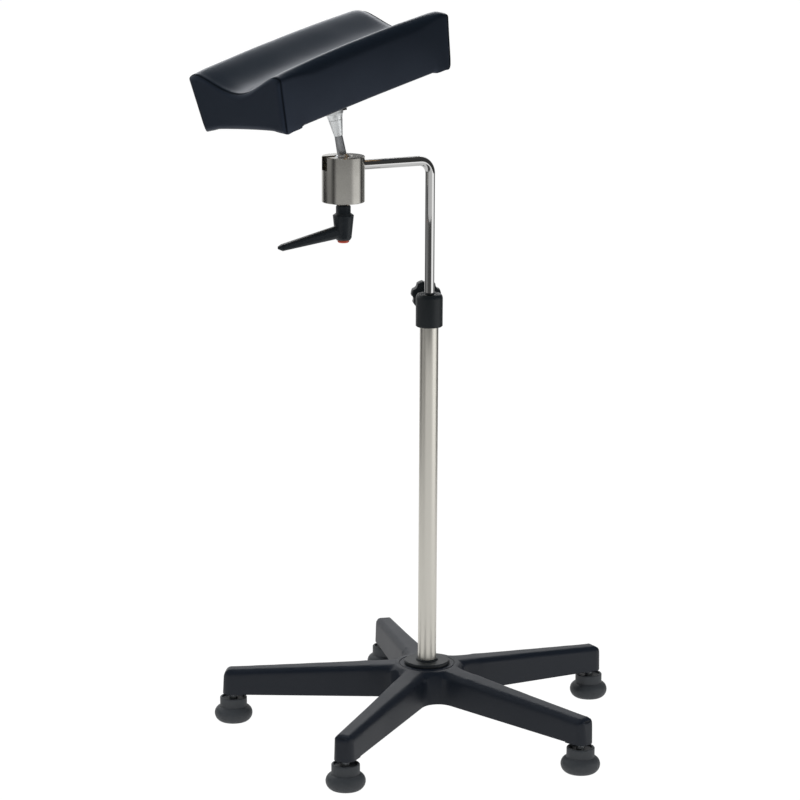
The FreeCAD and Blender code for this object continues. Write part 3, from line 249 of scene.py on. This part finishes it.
# one finish for each slot of the record; black oxide and foam are dull and even
finishes = {
    "base_nylon": mouldedNylon("mouldedBaseNylon", grit["nylonColour"], 0.46, rounding=0.002),
    "foot_nylon": mouldedNylon("mouldedGlideNylon", grit["footColour"], 0.5),
    "black_bush": mouldedNylon("mouldedBushNylon", grit["fittingColour"], 0.42),
    "collar_nylon": mouldedNylon("mouldedCollarNylon", grit["fittingColour"], 0.42),
    "lever_nylon": mouldedNylon("mouldedLeverNylon", grit["leverColour"], 0.42),
    "white_acetal": mouldedNylon("turnedAcetal", grit["acetalColour"], 0.35, 0.00001),
    "red_button": mouldedNylon("glossRedPlastic", grit["buttonColour"], 0.25, 0.000005),
    "brushed_tube": brushedSteel("brushedStainlessTube", grit["tubeColour"], 0.3),
    "chromed_rod": polishedMetal("polishedChrome", grit["chromeColour"], 0.06),
    "polished_housing": polishedMetal("polishedStainless", grit["polishedColour"], 0.16),
    "ball_steel": brushedSteel("turnedDullSteel", grit["stemColour"], 0.36, (1, 1, 1)),
    "silver_socket": castSilver("silverLacquer", grit["coneColour"], 0.36),
    "zinc_steel": brushedSteel("zincPlatedSteel", grit["zincColour"], 0.4, (1, 1, 1)),
    "spring_steel": brushedSteel("brightSpringSteel", grit["zincColour"], 0.25, (1, 1, 1)),
    "black_screw": newFinish("blackenedSteel", grit["screwColour"], 0.4, 0.6)[0],
    "brass_insert": polishedMetal("plainBrass", grit["brassColour"], 0.3),
    "plywood": plywood("rawBirchPly"),
    "pad_foam": newFinish("openCellFoam", grit["foamColour"], 0.95)[0],
    "black_vinyl": grainedVinyl("grainedUpholsteryVinyl"),
}
slotOf = {part["node"]: part["material_slot"] for part in frame["record"]["subparts"]}
for name, node in nodes.items():
    node.data.materials.clear()
    node.data.materials.append(finishes[slotOf[name]])
print("finishes made,", len(finishes))


def addPiece(name, shape, body, slot, *replaced):
    mesh = bpy.data.meshes.new(name)
    shape.to_mesh(mesh)
    shape.free()
    mesh.materials.append(finishes[slot])
    piece = bpy.data.objects.new(name, mesh)
    bpy.context.scene.collection.objects.link(piece)
    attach(piece, body)
    if replaced:
        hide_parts(*replaced)
    return piece


def smooth(piece, degrees=32):
    piece.data.shade_smooth()
    piece.data.set_sharp_from_angle(angle=math.radians(degrees))


easing = {
    "merge": 0.000004,  # corners nearer than this are one corner
    "flat": 0.6,  # faces that meet at fewer degrees are one flat
    "crisp": 30,  # edges that turn by more degrees are rounded
    "lookDown": -0.2,  # unless both their faces look down further than this
    "room": 2.2,  # and where the faces reach this many widths away from them
}


def mergedCopy(nodeName):
    # the CAD piece with its loose triangles joined and its flats made whole
    shape = bmesh.new()
    shape.from_mesh(nodes[nodeName].data)
    bmesh.ops.remove_doubles(shape, verts=shape.verts, dist=easing["merge"])
    bmesh.ops.dissolve_limit(shape, angle_limit=math.radians(easing["flat"]), verts=shape.verts,
                             edges=shape.edges)
    return shape


def roomBeside(edge, face):
    # how far a face reaches away from one of its edges
    if len(face.verts) < 5:
        return face.calc_area() / edge.calc_length()
    return 2 * face.calc_area() / face.calc_perimeter()


def softEdges(nodeName, width):
    # a copy of the CAD piece with its edges rounded as a mould or a polishing wheel leaves them
    shape = mergedCopy(nodeName)
    crisp = [edge for edge in shape.edges if len(edge.link_faces) == 2
             and edge.calc_face_angle(0) > math.radians(easing["crisp"])
             and max(face.normal.z for face in edge.link_faces) > easing["lookDown"]
             and min(roomBeside(edge, face) for face in edge.link_faces) > easing["room"] * width]
    bmesh.ops.bevel(shape, geom=crisp, offset=width, offset_type="OFFSET", affect="EDGES", segments=3,
                    profile=0.5, material=-1, clamp_overlap=False)
    piece = addPiece(nodeName + "_soft", shape, nodes[nodeName]["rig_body"], slotOf[nodeName], nodeName)
    smooth(piece)
    even = piece.modifiers.new("normals", "WEIGHTED_NORMAL")
    even.keep_sharp = True


# Camera, light and floor

shot = {
    "place": (-1.7754, -3.3665, 1.3127),
    "pitch": 77.34,
    "roll": 0.25,
    "heading": -27.229,
    "lens": 131.31,
    "sensor": 36,
}
camera = bpy.data.objects.new("camera", bpy.data.cameras.new("camera"))
camera.location = shot["place"]
camera.rotation_mode = "QUATERNION"
facing = Matrix.Identity(3)
for turn, axis in (("heading", "Z"), ("pitch", "X"), ("roll", "Z")):
    facing = facing @ Matrix.Rotation(math.radians(shot[turn]), 3, axis)
camera.rotation_quaternion = facing.to_quaternion()
camera.data.lens = shot["lens"]
camera.data.sensor_width = shot["sensor"]
bpy.context.scene.collection.objects.link(camera)
bpy.context.scene.camera = camera
bpy.context.scene.view_settings.view_transform = "Standard"

studio = {
    "middle": (-0.1, 0, 0.5),
    "worldLevel": 0.1,
    "worldColour": "#dbe8fb",
    "lamps": {
        # name: azimuth from the camera towards its right, height above the middle, distance, size, watts
        "keyBox": (55, 1.6, 2.6, 1.5, 20),
        "fillBox": (-60, 0.6, 3.0, 1.6, 6),
        "topBox": (-60, 2.3, 0.7, 1.4, 42),
        "backBox": (165, 2.2, 1.0, 1.4, 28),
    },
    "floorSize": 12,
    "floorGrey": 0.85,
    "floorShade": 0.05,  # share of the object's shadow that shows
    "floorGlow": 1.04,  # as the camera sees it
    "floorGloss": 0.8,  # as a reflection sees it
    "floorBounce": 0.33,  # what it sends up to the object
    "cardRadius": 1.5,
    "cardHeight": 2.4,
    "cardBands": (0.6, 1.35, 1.85),
    "cardBlend": 7,  # degrees each side of a border over which it fades
    "cardFade": 4,  # steps of the fade on each side
    "wallSegments": 360,
    "ceilingSegments": 48,
    "ceilingGrey": 0.06,
    # azimuth from the camera towards its right where each card starts, then its four bands' brightness
    "cards": ((-180, 0.8, 0.85, 3.8, 0.7), (-134, 0.02, 0.9, 0.9, 0.5), (-95, 0.3, 0.5, 0.4, 0.2),
              (-63, 0.1, 0.05, 0.05, 0.05), (-42, 0.65, 0.05, 0.05, 0.05), (50, 1.25, 0.05, 0.05, 0.05),
              (101, 0.1, 0.05, 0.05, 0.05), (147, 0.8, 0.85, 1, 0.2), (164, 0.8, 0.85, 3.8, 0.6)),
    "flags": {
        # name: place along the arm, distance towards the camera, half width, foot, top, brightness
        "rodFlag": (0, 0.25, 0.2, 0.49, 0.66, 0.08),
        "armFlag": (-0.05, -0.3, 0.07, 0.8, 0.98, 0.2),
    },
}
towardsCamera = math.radians(shot["heading"] - 90)
paperWhite = linear("#ffffff")


def addLamp(name, azimuth, height, distance, size, watts):
    lamp = bpy.data.objects.new(name, bpy.data.lights.new(name, "AREA"))
    lamp.data.shape = "SQUARE"
    lamp.data.size = size
    lamp.data.energy = watts
    middle = Vector(studio["middle"])
    heading = towardsCamera + math.radians(azimuth)
    lamp.location = middle + Vector((math.cos(heading) * distance, math.sin(heading) * distance, height))
    lamp.rotation_mode = "QUATERNION"
    lamp.rotation_quaternion = (middle - lamp.location).to_track_quat("-Z", "Y")
    lamp.visible_glossy = False
    bpy.context.scene.collection.objects.link(lamp)


for name, values in studio["lamps"].items():
    addLamp(name, *values)

cardPaper = bpy.data.materials.new("litCard")
cardPaper.use_nodes = True
tree = cardPaper.node_tree
tree.nodes.remove(tree.nodes["Principled BSDF"])
level = addNode(tree, "ShaderNodeAttribute", {"attribute_name": "glow"})
glow = addNode(tree, "ShaderNodeEmission", {"Color": paperWhite}, {"Strength": level.outputs["Fac"]})
tree.links.new(glow.outputs[0], tree.nodes["Material Output"].inputs["Surface"])


def cardLevel(spot):
    # the brightness of the wall at one place, blended across the cards' upright borders
    azimuth = math.degrees(math.atan2(spot.y, spot.x) - towardsCamera)
    band = sum(spot.z > height for height in studio["cardBands"])
    levels = []
    fade = studio["cardFade"]
    for step in range(-fade, fade + 1):
        near = (azimuth + studio["cardBlend"] * step / fade + 180) % 360 - 180
        card = sum(near >= values[0] for values in studio["cards"]) - 1
        levels.append(studio["cards"][card][band + 1])
    return sum(levels) / len(levels)


def addCard(name, shape, brightness):
    # a card of the studio, seen only in reflections
    glowLayer = shape.faces.layers.float.new("glow")
    for face in shape.faces:
        face[glowLayer] = brightness(face.calc_center_median())
    mesh = bpy.data.meshes.new(name)
    shape.to_mesh(mesh)
    shape.free()
    mesh.materials.append(cardPaper)
    card = bpy.data.objects.new(name, mesh)
    card.visible_camera = False
    card.visible_diffuse = False
    card.visible_shadow = False
    card.visible_transmission = False
    bpy.context.scene.collection.objects.link(card)
    return card


def addCards():
    # a round wall of cards in bands, a lid over it, and two dark flags near the arm and the rod
    middle = Vector(studio["middle"])
    ring = bmesh.new()
    made = bmesh.ops.create_circle(ring, segments=studio["wallSegments"], radius=studio["cardRadius"])
    rim = made["verts"]
    edges = list({edge for vert in rim for edge in vert.link_edges})
    for height in studio["cardBands"] + (studio["cardHeight"],):
        grown = bmesh.ops.extrude_edge_only(ring, edges=edges)["geom"]
        edges = [item for item in grown if isinstance(item, bmesh.types.BMEdge) and item.is_boundary]
        for vert in (item for item in grown if isinstance(item, bmesh.types.BMVert)):
            vert.co.z = height
    wall = addCard("wallCards", ring, cardLevel)
    wall.data.transform(Matrix.Translation((middle.x, middle.y, 0)))
    lid = bmesh.new()
    bmesh.ops.create_circle(lid, cap_ends=True, segments=studio["ceilingSegments"],
                            radius=studio["cardRadius"])
    bmesh.ops.translate(lid, verts=lid.verts, vec=(middle.x, middle.y, studio["cardHeight"]))
    addCard("ceilingCard", lid, lambda spot: studio["ceilingGrey"])
    out = Vector((math.cos(towardsCamera), math.sin(towardsCamera), 0))
    across = Vector((-out.y, out.x, 0))
    for name, (along, ahead, halfWidth, low, high, grey) in studio["flags"].items():
        dark = bmesh.new()
        corners = [dark.verts.new(across * side * halfWidth + out * ahead + Vector((along, 0, height)))
                   for side, height in ((-1, low), (1, low), (1, high), (-1, high))]
        dark.faces.new(corners)
        addCard(name, dark, lambda spot: grey)


addCards()

# the camera sees a white backdrop, and the object a dim blue-grey room
world = bpy.data.worlds.new("studio")
bpy.context.scene.world = world
world.use_nodes = True
tree = world.node_tree
soft = tree.nodes["Background"]
soft.inputs["Color"].default_value = linear(studio["worldColour"])
soft.inputs["Strength"].default_value = studio["worldLevel"]
white = addNode(tree, "ShaderNodeBackground", {"Color": paperWhite, "Strength": 1})
path = addNode(tree, "ShaderNodeLightPath")
mix = addNode(tree, "ShaderNodeMixShader", (), {0: path.outputs["Is Camera Ray"], 1: soft.outputs[0],
                                                2: white.outputs[0]})
tree.links.new(mix.outputs[0], tree.nodes["World Output"].inputs["Surface"])

# a pale floor that shows white to the camera and holds a little of the shadow
floorShape = bmesh.new()
bmesh.ops.create_grid(floorShape, x_segments=1, y_segments=1, size=studio["floorSize"])
floorMesh = bpy.data.meshes.new("floor")
floorShape.to_mesh(floorMesh)
floorShape.free()
floor = bpy.data.objects.new("floor", floorMesh)
bpy.context.scene.collection.objects.link(floor)
floorFinish = bpy.data.materials.new("paleFloor")
floorFinish.use_nodes = True
tree = floorFinish.node_tree
matt = tree.nodes["Principled BSDF"]
matt.inputs["Base Color"].default_value = [studio["floorGrey"]] * 3 + [1]
matt.inputs["Roughness"].default_value = 0.9
matt.inputs["Emission Color"].default_value = paperWhite
matt.inputs["Emission Strength"].default_value = studio["floorBounce"]
glow = addNode(tree, "ShaderNodeEmission", {"Color": paperWhite, "Strength": studio["floorGlow"]})
gloss = addNode(tree, "ShaderNodeEmission", {"Color": paperWhite, "Strength": studio["floorGloss"]})
path = addNode(tree, "ShaderNodeLightPath")
share = addNode(tree, "ShaderNodeMath", {"operation": "MULTIPLY", 1: 1 - studio["floorShade"]},
                {0: path.outputs["Is Camera Ray"]})
seen = addNode(tree, "ShaderNodeMixShader", (), {0: share.outputs[0], 1: matt.outputs[0],
                                                 2: glow.outputs[0]})
mix = addNode(tree, "ShaderNodeMixShader", (), {0: path.outputs["Is Glossy Ray"], 1: seen.outputs[0],
                                                2: gloss.outputs[0]})
tree.links.new(mix.outputs[0], tree.nodes["Material Output"].inputs["Surface"])
floorMesh.materials.append(floorFinish)
print("camera, light and floor set")

# The moulded base: its shoulders rounded and its joins run together, as the mould leaves them

base = {
    "arms": 5, "turn": 3.33,
    # which faces are the outer skin: radii, distance from an arm's middle, heights and slants
    "start": 0.043, "wallStart": 0.052, "wallFrom": 0.011, "roofAbove": 0.06, "slant": 0.2, "endSlant": 0.3,
    # where the skin is cut into fine faces, and how far apart the cuts are
    "across": 0.028, "acrossStep": 0.0022,
    "hub": 0.085, "hubStep": 0.003, "alongStep": 0.009,
    "tipFrom": 0.245, "end": 0.274, "pastEnd": 0.006, "tipStep": 0.0022,
    "low": 0.05, "top": 0.09, "upStep": 0.0026, "cutGap": 0.00002,
    # rounds of smoothing all over, and more where the arms run into the hub
    "rounds": 9, "joinFrom": 0.045, "joinTo": 0.08, "joinRounds": 26,
    # the arms' sides lean in by this much for each metre above a height
    "draft": 0.03, "draftFrom": 0.04,
    "sharpAngle": 40,
}


def armPlace(spot):
    # how far a point is along and across the arm that it is nearest to, and that arm's number
    fifth = 2 * math.pi / base["arms"]
    angle = math.atan2(spot.y, spot.x) - math.radians(base["turn"])
    number = round(angle / fifth)
    reach, off = math.hypot(spot.x, spot.y), angle - number * fifth
    return reach * math.cos(off), reach * math.sin(off), number % base["arms"]


def armAxis(number):
    angle = math.radians(base["turn"]) + number * 2 * math.pi / base["arms"]
    return Vector((math.cos(angle), math.sin(angle), 0))


def aside(axis):
    # the level direction across an arm
    return Vector((-axis.y, axis.x, 0))


def outside(face):
    # whether a face is part of the base's outer skin, past the flat of the hub
    spot, normal = face.calc_center_median(), face.normal
    along, across, number = armPlace(spot)
    if math.hypot(along, across) < base["start"]:
        return False
    if normal.z > base["slant"]:
        return spot.z > base["roofAbove"]
    if normal.z < -base["slant"] or math.hypot(along, across) < base["wallStart"]:
        return False
    axis = armAxis(number)
    if along > base["end"] and normal.dot(axis) > base["endSlant"]:
        return True
    return abs(across) > base["wallFrom"] and across * normal.dot(aside(axis)) > 0


def onArm(number):
    # a test for places nearest to one arm
    return lambda spot: armPlace(spot)[2] == number


def atHub(spot):
    return math.hypot(spot.x, spot.y) < base["hub"]


def anywhere(spot):
    return True


def cutSkin(shape, direction, offsets, inside):
    # rings of new edges where planes across a direction meet the outer skin
    for offset in offsets:
        near = [face for face in shape.faces if outside(face) and inside(face.calc_center_median())]
        geom = near + list({edge for face in near for edge in face.edges})
        geom += list({vert for face in near for vert in face.verts})
        bmesh.ops.bisect_plane(shape, geom=geom, dist=base["cutGap"], plane_co=direction * offset,
                               plane_no=direction)


def steps(low, high, gap):
    # evenly spaced places from low to high, about a gap apart
    count = round((high - low) / gap)
    return [low + (high - low) * k / count for k in range(count + 1)]


def relax(shape, verts, rounds):
    for turn in range(rounds):
        bmesh.ops.smooth_vert(shape, verts=verts, factor=0.5, use_axis_x=True, use_axis_y=True,
                              use_axis_z=True)


def mouldedBase():
    # the outer skin cut fine, leaned in a little and smoothed; the ribs inside stay as they are
    shape = mergedCopy("star_base")
    for number in range(base["arms"]):
        axis = armAxis(number)
        widths = steps(-base["across"], base["across"], base["acrossStep"])
        lengths = steps(base["hub"], base["tipFrom"], base["alongStep"])
        tips = steps(base["tipFrom"], base["end"] + base["pastEnd"], base["tipStep"])
        cutSkin(shape, aside(axis), widths, onArm(number))
        cutSkin(shape, axis, lengths, onArm(number))
        cutSkin(shape, axis, tips, onArm(number))
    for direction in (Vector((1, 0, 0)), Vector((0, 1, 0))):
        cutSkin(shape, direction, steps(-base["hub"], base["hub"], base["hubStep"]), atHub)
    cutSkin(shape, Vector((0, 0, 1)), steps(base["low"], base["top"], base["upStep"]), anywhere)
    skin = [vert for vert in shape.verts
            if vert.link_faces and all(outside(face) for face in vert.link_faces)]
    for vert in skin:
        along, across, number = armPlace(vert.co)
        lean = base["draft"] * max(vert.co.z - base["draftFrom"], 0)
        share = min(max((along - base["hub"]) / base["hub"], 0), 1) * min(abs(across) / base["wallFrom"], 1)
        vert.co -= aside(armAxis(number)) * math.copysign(lean * share, across)
    relax(shape, skin, base["rounds"])
    joins = [vert for vert in skin if base["joinFrom"] < vert.co.xy.length < base["joinTo"]]
    relax(shape, joins, base["joinRounds"])
    piece = addPiece("moulded_base", shape, nodes["star_base"]["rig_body"], slotOf["star_base"], "star_base")
    smooth(piece, base["sharpAngle"])
    return piece


print("base moulded,", len(mouldedBase().data.polygons), "faces")

# Hard pieces with their edges eased, each by its own width in metres

softened = {
    "clamp_collar": 0.001,
    "lever_handle": 0.001,
    "star_knob": 0.0014,
    "stem_cone": 0.0003,
    "head_socket": 0.0005,
    "hub_cover": 0.0006,
    "column_bush": 0.0005,
    "lever_button": 0.0005,
}
softened.update({"foot_glide_%d" % number: 0.0006 for number in range(1, 6)})
for nodeName, width in softened.items():
    softEdges(nodeName, width)
print("edges softened,", len(softened))

# The upholstered pad, in the frame of its head: x along the pad, z along the stem from the ball

pad = {
    # the block, and how its sides draw in towards the bottom
    "length": 0.3115, "shift": -0.0027, "width": 0.168, "bottom": 0.087, "height": 0.073,
    "endTaper": 0.002, "sideTaper": 0.009, "sideBow": 0.002, "endBow": 0.0015, "sideSwell": 0.0015,
    # the trough and its crests: crisp at the seams, soft further in
    "troughDepth": 0.0225, "troughShare": 0.7, "troughAside": -0.003, "crestMargin": 0.013,
    "crispDrop": 0.0026, "crispRound": 0.004, "crispAngle": 63, "roundDrop": 0.016, "roundReach": 0.07,
    # how the top rises and falls from end to end
    "crown": 0.0045, "pitchTop": 0.0026, "pitchLow": 0.001, "endPinch": 0.001,
    "endFall": 0.001, "endFallFrom": 0.85, "farFall": 0.003, "farFallFrom": 0.9,
    "farCrestRise": 0.0024, "farCrestFrom": 0.2, "farCrestTo": 0.9, "farCrestMiddle": 0.4,
    # underside: the cover folds round the edge and is turned under the board
    "bottomEdge": 0.003, "turnUnder": 0.026, "boardSeat": 0.0025, "underMargin": 1.1, "foldRound": 0.0025,
    "tuckLength": 0.026, "tuckSlope": 0.005, "tuckWidth": 0.03, "tuckDrop": 0.0022, "middleRise": 0.0012,
    "cornerIn": 0.0012, "cornerReach": 0.012, "cornerDrop": 0.0014,
    # seams and end panels, and how strongly painted shade darkens the seams
    "grooveDepth": 0.0012, "grooveWidth": 0.0009, "seamShade": 1.8,
    "welt": 0.0002, "weltGap": 0.0032, "weltWidth": 0.0018,
    "panelBulge": 0.0036, "panelReach": 0.009, "panelMost": 0.4,
    "coreWidth": 0.74, "coreHeight": 0.45, "coreShare": 0.4,
    # where the rings lie: evenly, then at gaps from the seam, and in from the seam over the panel
    "rings": 24, "ringsTo": 0.9,
    "seamRings": (0.013, 0.01, 0.0075, 0.0055, 0.004, 0.003, 0.0022, 0.0016, 0.0011, 0.0007, 0.0003, 0),
    "panelRings": (0.0003, 0.0007, 0.0012, 0.0018, 0.0026, 0.0036, 0.005, 0.007, 0.0095, 0.013),
    "coreRings": (0.45, 0.62, 0.8, 1), "borderGap": 0.0004, "merge": 0.00001,
    # its place on the stem, how tight it is, and the slow waver of its skin
    "spin": 19.7, "fill": 0.8, "waver": 0.00035, "waverScale": 22, "waverFrom": 0.02, "waverSeed": 7,
    "sharpAngle": 60,
}
# faces round half the cross-section, part by part
troughSteps, shoulderSteps, edgeSteps, sideSteps, foldSteps, borderSteps, seatSteps = 26, 6, 5, 16, 4, 5, 8


def ease(value, low, high):
    t = min(max((value - low) / (high - low), 0), 1)
    return t * t * (3 - 2 * t)


def padHalfOutline(rounded):
    # half the cross-section, from the middle of the trough round to the middle underneath
    half, top, margin = pad["width"] / 2, pad["bottom"] + pad["height"], pad["crestMargin"]
    crest, small = half - margin, pad["crispRound"]
    points = []
    for k in range(troughSteps + 1):
        y = crest * k / troughSteps
        drop = pad["troughDepth"] * (0.5 + 0.5 * math.cos(math.pi * k / troughSteps)) ** pad["troughShare"]
        points.append((y, top - drop))
    startAngle = math.radians(pad["crispAngle"])
    knee = half - small + small * math.cos(startAngle)
    kneeDrop = pad["crispDrop"]
    crisp = [(crest + (knee - crest) * k / shoulderSteps, top - kneeDrop * (k / shoulderSteps) ** 2)
             for k in range(1, shoulderSteps + 1)]
    centre = top - kneeDrop - small * math.sin(startAngle)
    for k in range(1, edgeSteps + 1):
        angle = startAngle * (1 - k / edgeSteps)
        crisp.append((half - small + small * math.cos(angle), centre + small * math.sin(angle)))
    total = shoulderSteps + edgeSteps
    for k, (y, z) in enumerate(crisp, 1):
        angle = math.pi / 2 * k / total
        soft = (crest + margin * math.sin(angle), top - pad["roundDrop"] * (1 - math.cos(angle)))
        points.append(Vector((y, z)).lerp(Vector(soft), rounded).to_tuple())
    low, edge = pad["bottom"], pad["bottomEdge"]
    start = points[-1][1]
    points += [(half, start + (low + edge - start) * k / sideSteps) for k in range(1, sideSteps + 1)]
    for k in range(1, foldSteps + 1):
        angle = math.pi / 2 * k / foldSteps
        points.append((half - edge * (1 - math.cos(angle)), low + edge * (1 - math.sin(angle))))
    border = half - pad["turnUnder"]
    points += [(half - edge + (border - half + edge) * k / borderSteps, low)
               for k in range(1, borderSteps + 1)]
    points += [(border * (1 - k / seatSteps), low + pad["boardSeat"]) for k in range(seatSteps + 1)]
    return points


def padOutline(rounded):
    half = padHalfOutline(rounded)
    return half + [(-y, z) for y, z in reversed(half[1:-1])]


def isUnder(z):
    # whether a point of the outline lies on the underside
    return z < pad["bottom"] + pad["boardSeat"] * pad["underMargin"]


def inwardNormals(outline):
    count = len(outline)
    normals = []
    for k in range(count):
        along = (Vector(outline[(k + 1) % count]) - Vector(outline[k - 1])).normalized()
        normals.append(Vector((along.y, -along.x)))
    return normals


def padForm(x, y, z):
    # from the straight-sided block to the stuffed, tapered pad
    halfLength, halfWidth = pad["length"] / 2, pad["width"] / 2
    h = (z - pad["bottom"]) / pad["height"]
    rise = min(max(h, 0), 1)
    alongX, acrossY = x / halfLength, y / halfWidth
    low = (1 - rise) ** 2
    outX = 1 - (1 - rise) * pad["endTaper"] / halfLength
    outY = 1 - (1 - rise) * pad["sideTaper"] / halfWidth
    tuck = ease(abs(x), halfLength - pad["tuckLength"] - pad["tuckSlope"], halfLength - pad["tuckLength"])
    tuck *= ease(abs(y), halfWidth - pad["tuckWidth"], halfWidth - pad["tuckWidth"] / 3)
    newX = x * outX - alongX * pad["endBow"] * low * (1 - acrossY ** 2) + pad["shift"]
    newY = y * outY - acrossY * pad["sideBow"] * low * (1 - alongX ** 2)
    newY += acrossY * pad["sideSwell"] * 4 * rise * (1 - rise) * (1 - alongX ** 4)
    newY += pad["troughAside"] * rise * max(1 - acrossY ** 2, 0)
    newY -= acrossY * pad["endPinch"] * alongX ** 6
    newZ = z + pad["crown"] * (1 - alongX ** 2) * rise
    newZ -= pad["endFall"] * ease(abs(alongX), pad["endFallFrom"], 1) * rise
    newZ += alongX * (pad["pitchTop"] * rise + pad["pitchLow"] * (1 - rise) * (alongX < 0))
    farCrest = pad["farCrestMiddle"] + (1 - pad["farCrestMiddle"]) * alongX ** 2
    newZ += pad["farCrestRise"] * ease(acrossY, pad["farCrestFrom"], pad["farCrestTo"]) * farCrest * rise
    newZ -= pad["farFall"] * ease(alongX, pad["farFallFrom"], 1) ** 2 * rise
    newZ += (pad["middleRise"] * (1 - acrossY ** 2) * alongX ** 8 - pad["tuckDrop"] * tuck) * (1 - rise) ** 6
    corner = ease(abs(x), halfLength - pad["cornerReach"], halfLength)
    corner *= ease(abs(y), halfWidth - pad["cornerReach"], halfWidth) * (1 - rise) ** 12
    newX -= math.copysign(pad["cornerIn"] * corner, x)
    newY -= math.copysign(pad["cornerIn"] * corner, y)
    newZ -= pad["cornerDrop"] * corner
    place = Vector((newX, newY, newZ))
    return place + noise.noise_vector(place * pad["waverScale"]) * pad["waver"] * (h > pad["waverFrom"])


def turnedBorder():
    # where the edge that is turned under ends, along the pad
    return pad["length"] / 2 - pad["endTaper"] - pad["turnUnder"]


def padStations():
    # where the rings of the cover lie along the pad: closer together near the seams
    seamX = pad["length"] / 2
    places = [seamX * pad["ringsTo"] * k / pad["rings"] for k in range(pad["rings"] + 1)]
    places += [seamX - gap for gap in pad["seamRings"]]
    places = sorted(places + [turnedBorder(), turnedBorder() + pad["borderGap"]])
    return [-place for place in reversed(places[1:])] + places


def grooveAt(distance):
    return math.exp(-(distance / pad["grooveWidth"]) ** 2)


def padCover():
    # a grid rolled into a tube ring by ring, its seam lines marked for painted shade, then closed at both
    # ends
    seamX = pad["length"] / 2
    stations = padStations()
    shape = bmesh.new()
    # a mask along the seams: painted shade, with a little dust, on the vinyl's colour, and a duller finish
    # there
    seamShadeLayer = shape.verts.layers.float.new("seam")
    count = len(padOutline(0))
    bmesh.ops.create_grid(shape, x_segments=len(stations) - 1, y_segments=count, size=1)
    columns = {}
    for vert in shape.verts:
        i = round((vert.co.x + 1) / 2 * (len(stations) - 1))
        columns.setdefault(i, []).append((round((vert.co.y + 1) / 2 * count) % count, vert))
    for i, column in columns.items():
        x = stations[i]
        gap = seamX - abs(x)
        outline = padOutline(ease(gap, 0, pad["roundReach"]))
        inward = inwardNormals(outline)
        for k, vert in column:
            y, z = outline[k]
            under = isUnder(z)
            inset = pad["grooveDepth"] * grooveAt(gap)
            inset -= pad["welt"] * math.exp(-((gap - pad["weltGap"]) / pad["weltWidth"]) ** 2)
            if under:
                inset = pad["foldRound"] * math.exp(-2 * gap / pad["foldRound"])
                if abs(x) > turnedBorder() + pad["borderGap"] / 2:
                    z = pad["bottom"]
            y, z = Vector((y, z)) + inward[k] * inset
            vert.co = padForm(x, y, z)
            # painted shade follows the seam groove, none on the underside
            vert[seamShadeLayer] = 0 if under else min(grooveAt(gap) * pad["seamShade"], 1)
    bmesh.ops.remove_doubles(shape, verts=shape.verts, dist=pad["merge"])
    for side in (-1, 1):
        closePadEnd(shape, seamShadeLayer, side)
    bmesh.ops.recalc_face_normals(shape, faces=shape.faces)
    return shape


def closePadEnd(shape, seamShadeLayer, side):
    # the end panel: rings that run inwards from the seam, swelling out to the panel's face
    outline = padOutline(0)
    seamX = pad["length"] / 2
    core = pad["bottom"] + pad["height"] * pad["coreHeight"]
    flat = [(y, pad["bottom"] if isUnder(z) else z) for y, z in outline]
    inward = inwardNormals(outline)
    rim = [edge for edge in shape.edges if edge.is_boundary and edge.verts[0].co.x * side > 0]
    starts = []
    for k, spot in enumerate(flat):
        inset = pad["foldRound"] if isUnder(outline[k][1]) else pad["grooveDepth"]
        starts.append(padForm(side * seamX, *(Vector(spot) + inward[k] * inset)))
    placeOf = {}
    for vert in {v for edge in rim for v in edge.verts}:
        placeOf[vert] = min(range(len(starts)), key=lambda k: (starts[k] - vert.co).length)
    walks = [(depth, 0) for depth in pad["panelRings"]] + [(0, share) for share in pad["coreRings"]]
    for depth, share in walks:
        grown = bmesh.ops.extrude_edge_only(shape, edges=rim)["geom"]
        rim = [item for item in grown if isinstance(item, bmesh.types.BMEdge) and item.is_boundary]
        fresh = {}
        for vert in (item for item in grown if isinstance(item, bmesh.types.BMVert)):
            old = next(edge.other_vert(vert) for edge in vert.link_edges
                       if edge.other_vert(vert) in placeOf)
            k = placeOf[old]
            fresh[vert] = k
            under = isUnder(outline[k][1])
            spot = Vector(flat[k])
            heart = Vector((spot.x * pad["coreWidth"], core + (spot.y - core) * pad["coreShare"]))
            reach = (heart - spot).length
            walked = share * reach if share else min(depth, reach * pad["panelMost"])
            spot = spot.lerp(heart, walked / reach)
            outwards = pad["panelBulge"] * math.sqrt(1 - max(1 - walked / pad["panelReach"], 0) ** 2)
            outwards -= pad["grooveDepth"] * grooveAt(walked)
            if under:
                outwards -= pad["foldRound"] * math.exp(-2 * walked / pad["foldRound"])
            vert.co = padForm(side * (seamX + outwards), spot.x, spot.y)
            # painted shade follows the end panel's seam groove, none on the underside
            vert[seamShadeLayer] = 0 if under else min(grooveAt(walked) * pad["seamShade"], 1)
        placeOf = fresh
    bmesh.ops.contextual_create(shape, geom=rim)


def headPlace():
    # from the pad's own frame to its place on the leaning stem
    turn = next(j for j in frame["joints"] if j["name"] == "pad_turn")
    stem = Vector(turn["axis"])
    lean = math.atan2(stem.x, stem.z)
    return (Matrix.Translation(turn["pos_m"]) @ Matrix.Rotation(lean, 4, "Y")
            @ Matrix.Rotation(math.radians(pad["spin"]), 4, "Z"))


noise.seed_set(pad["waverSeed"])
cover = padCover()
bmesh.ops.transform(cover, matrix=headPlace(), verts=cover.verts)
coverPiece = addPiece("vinylCover", cover, "head", "black_vinyl", "pad_cover", "pad_foam")
smooth(coverPiece, pad["sharpAngle"])
print("pad covered,", len(coverPiece.data.polygons), "faces")
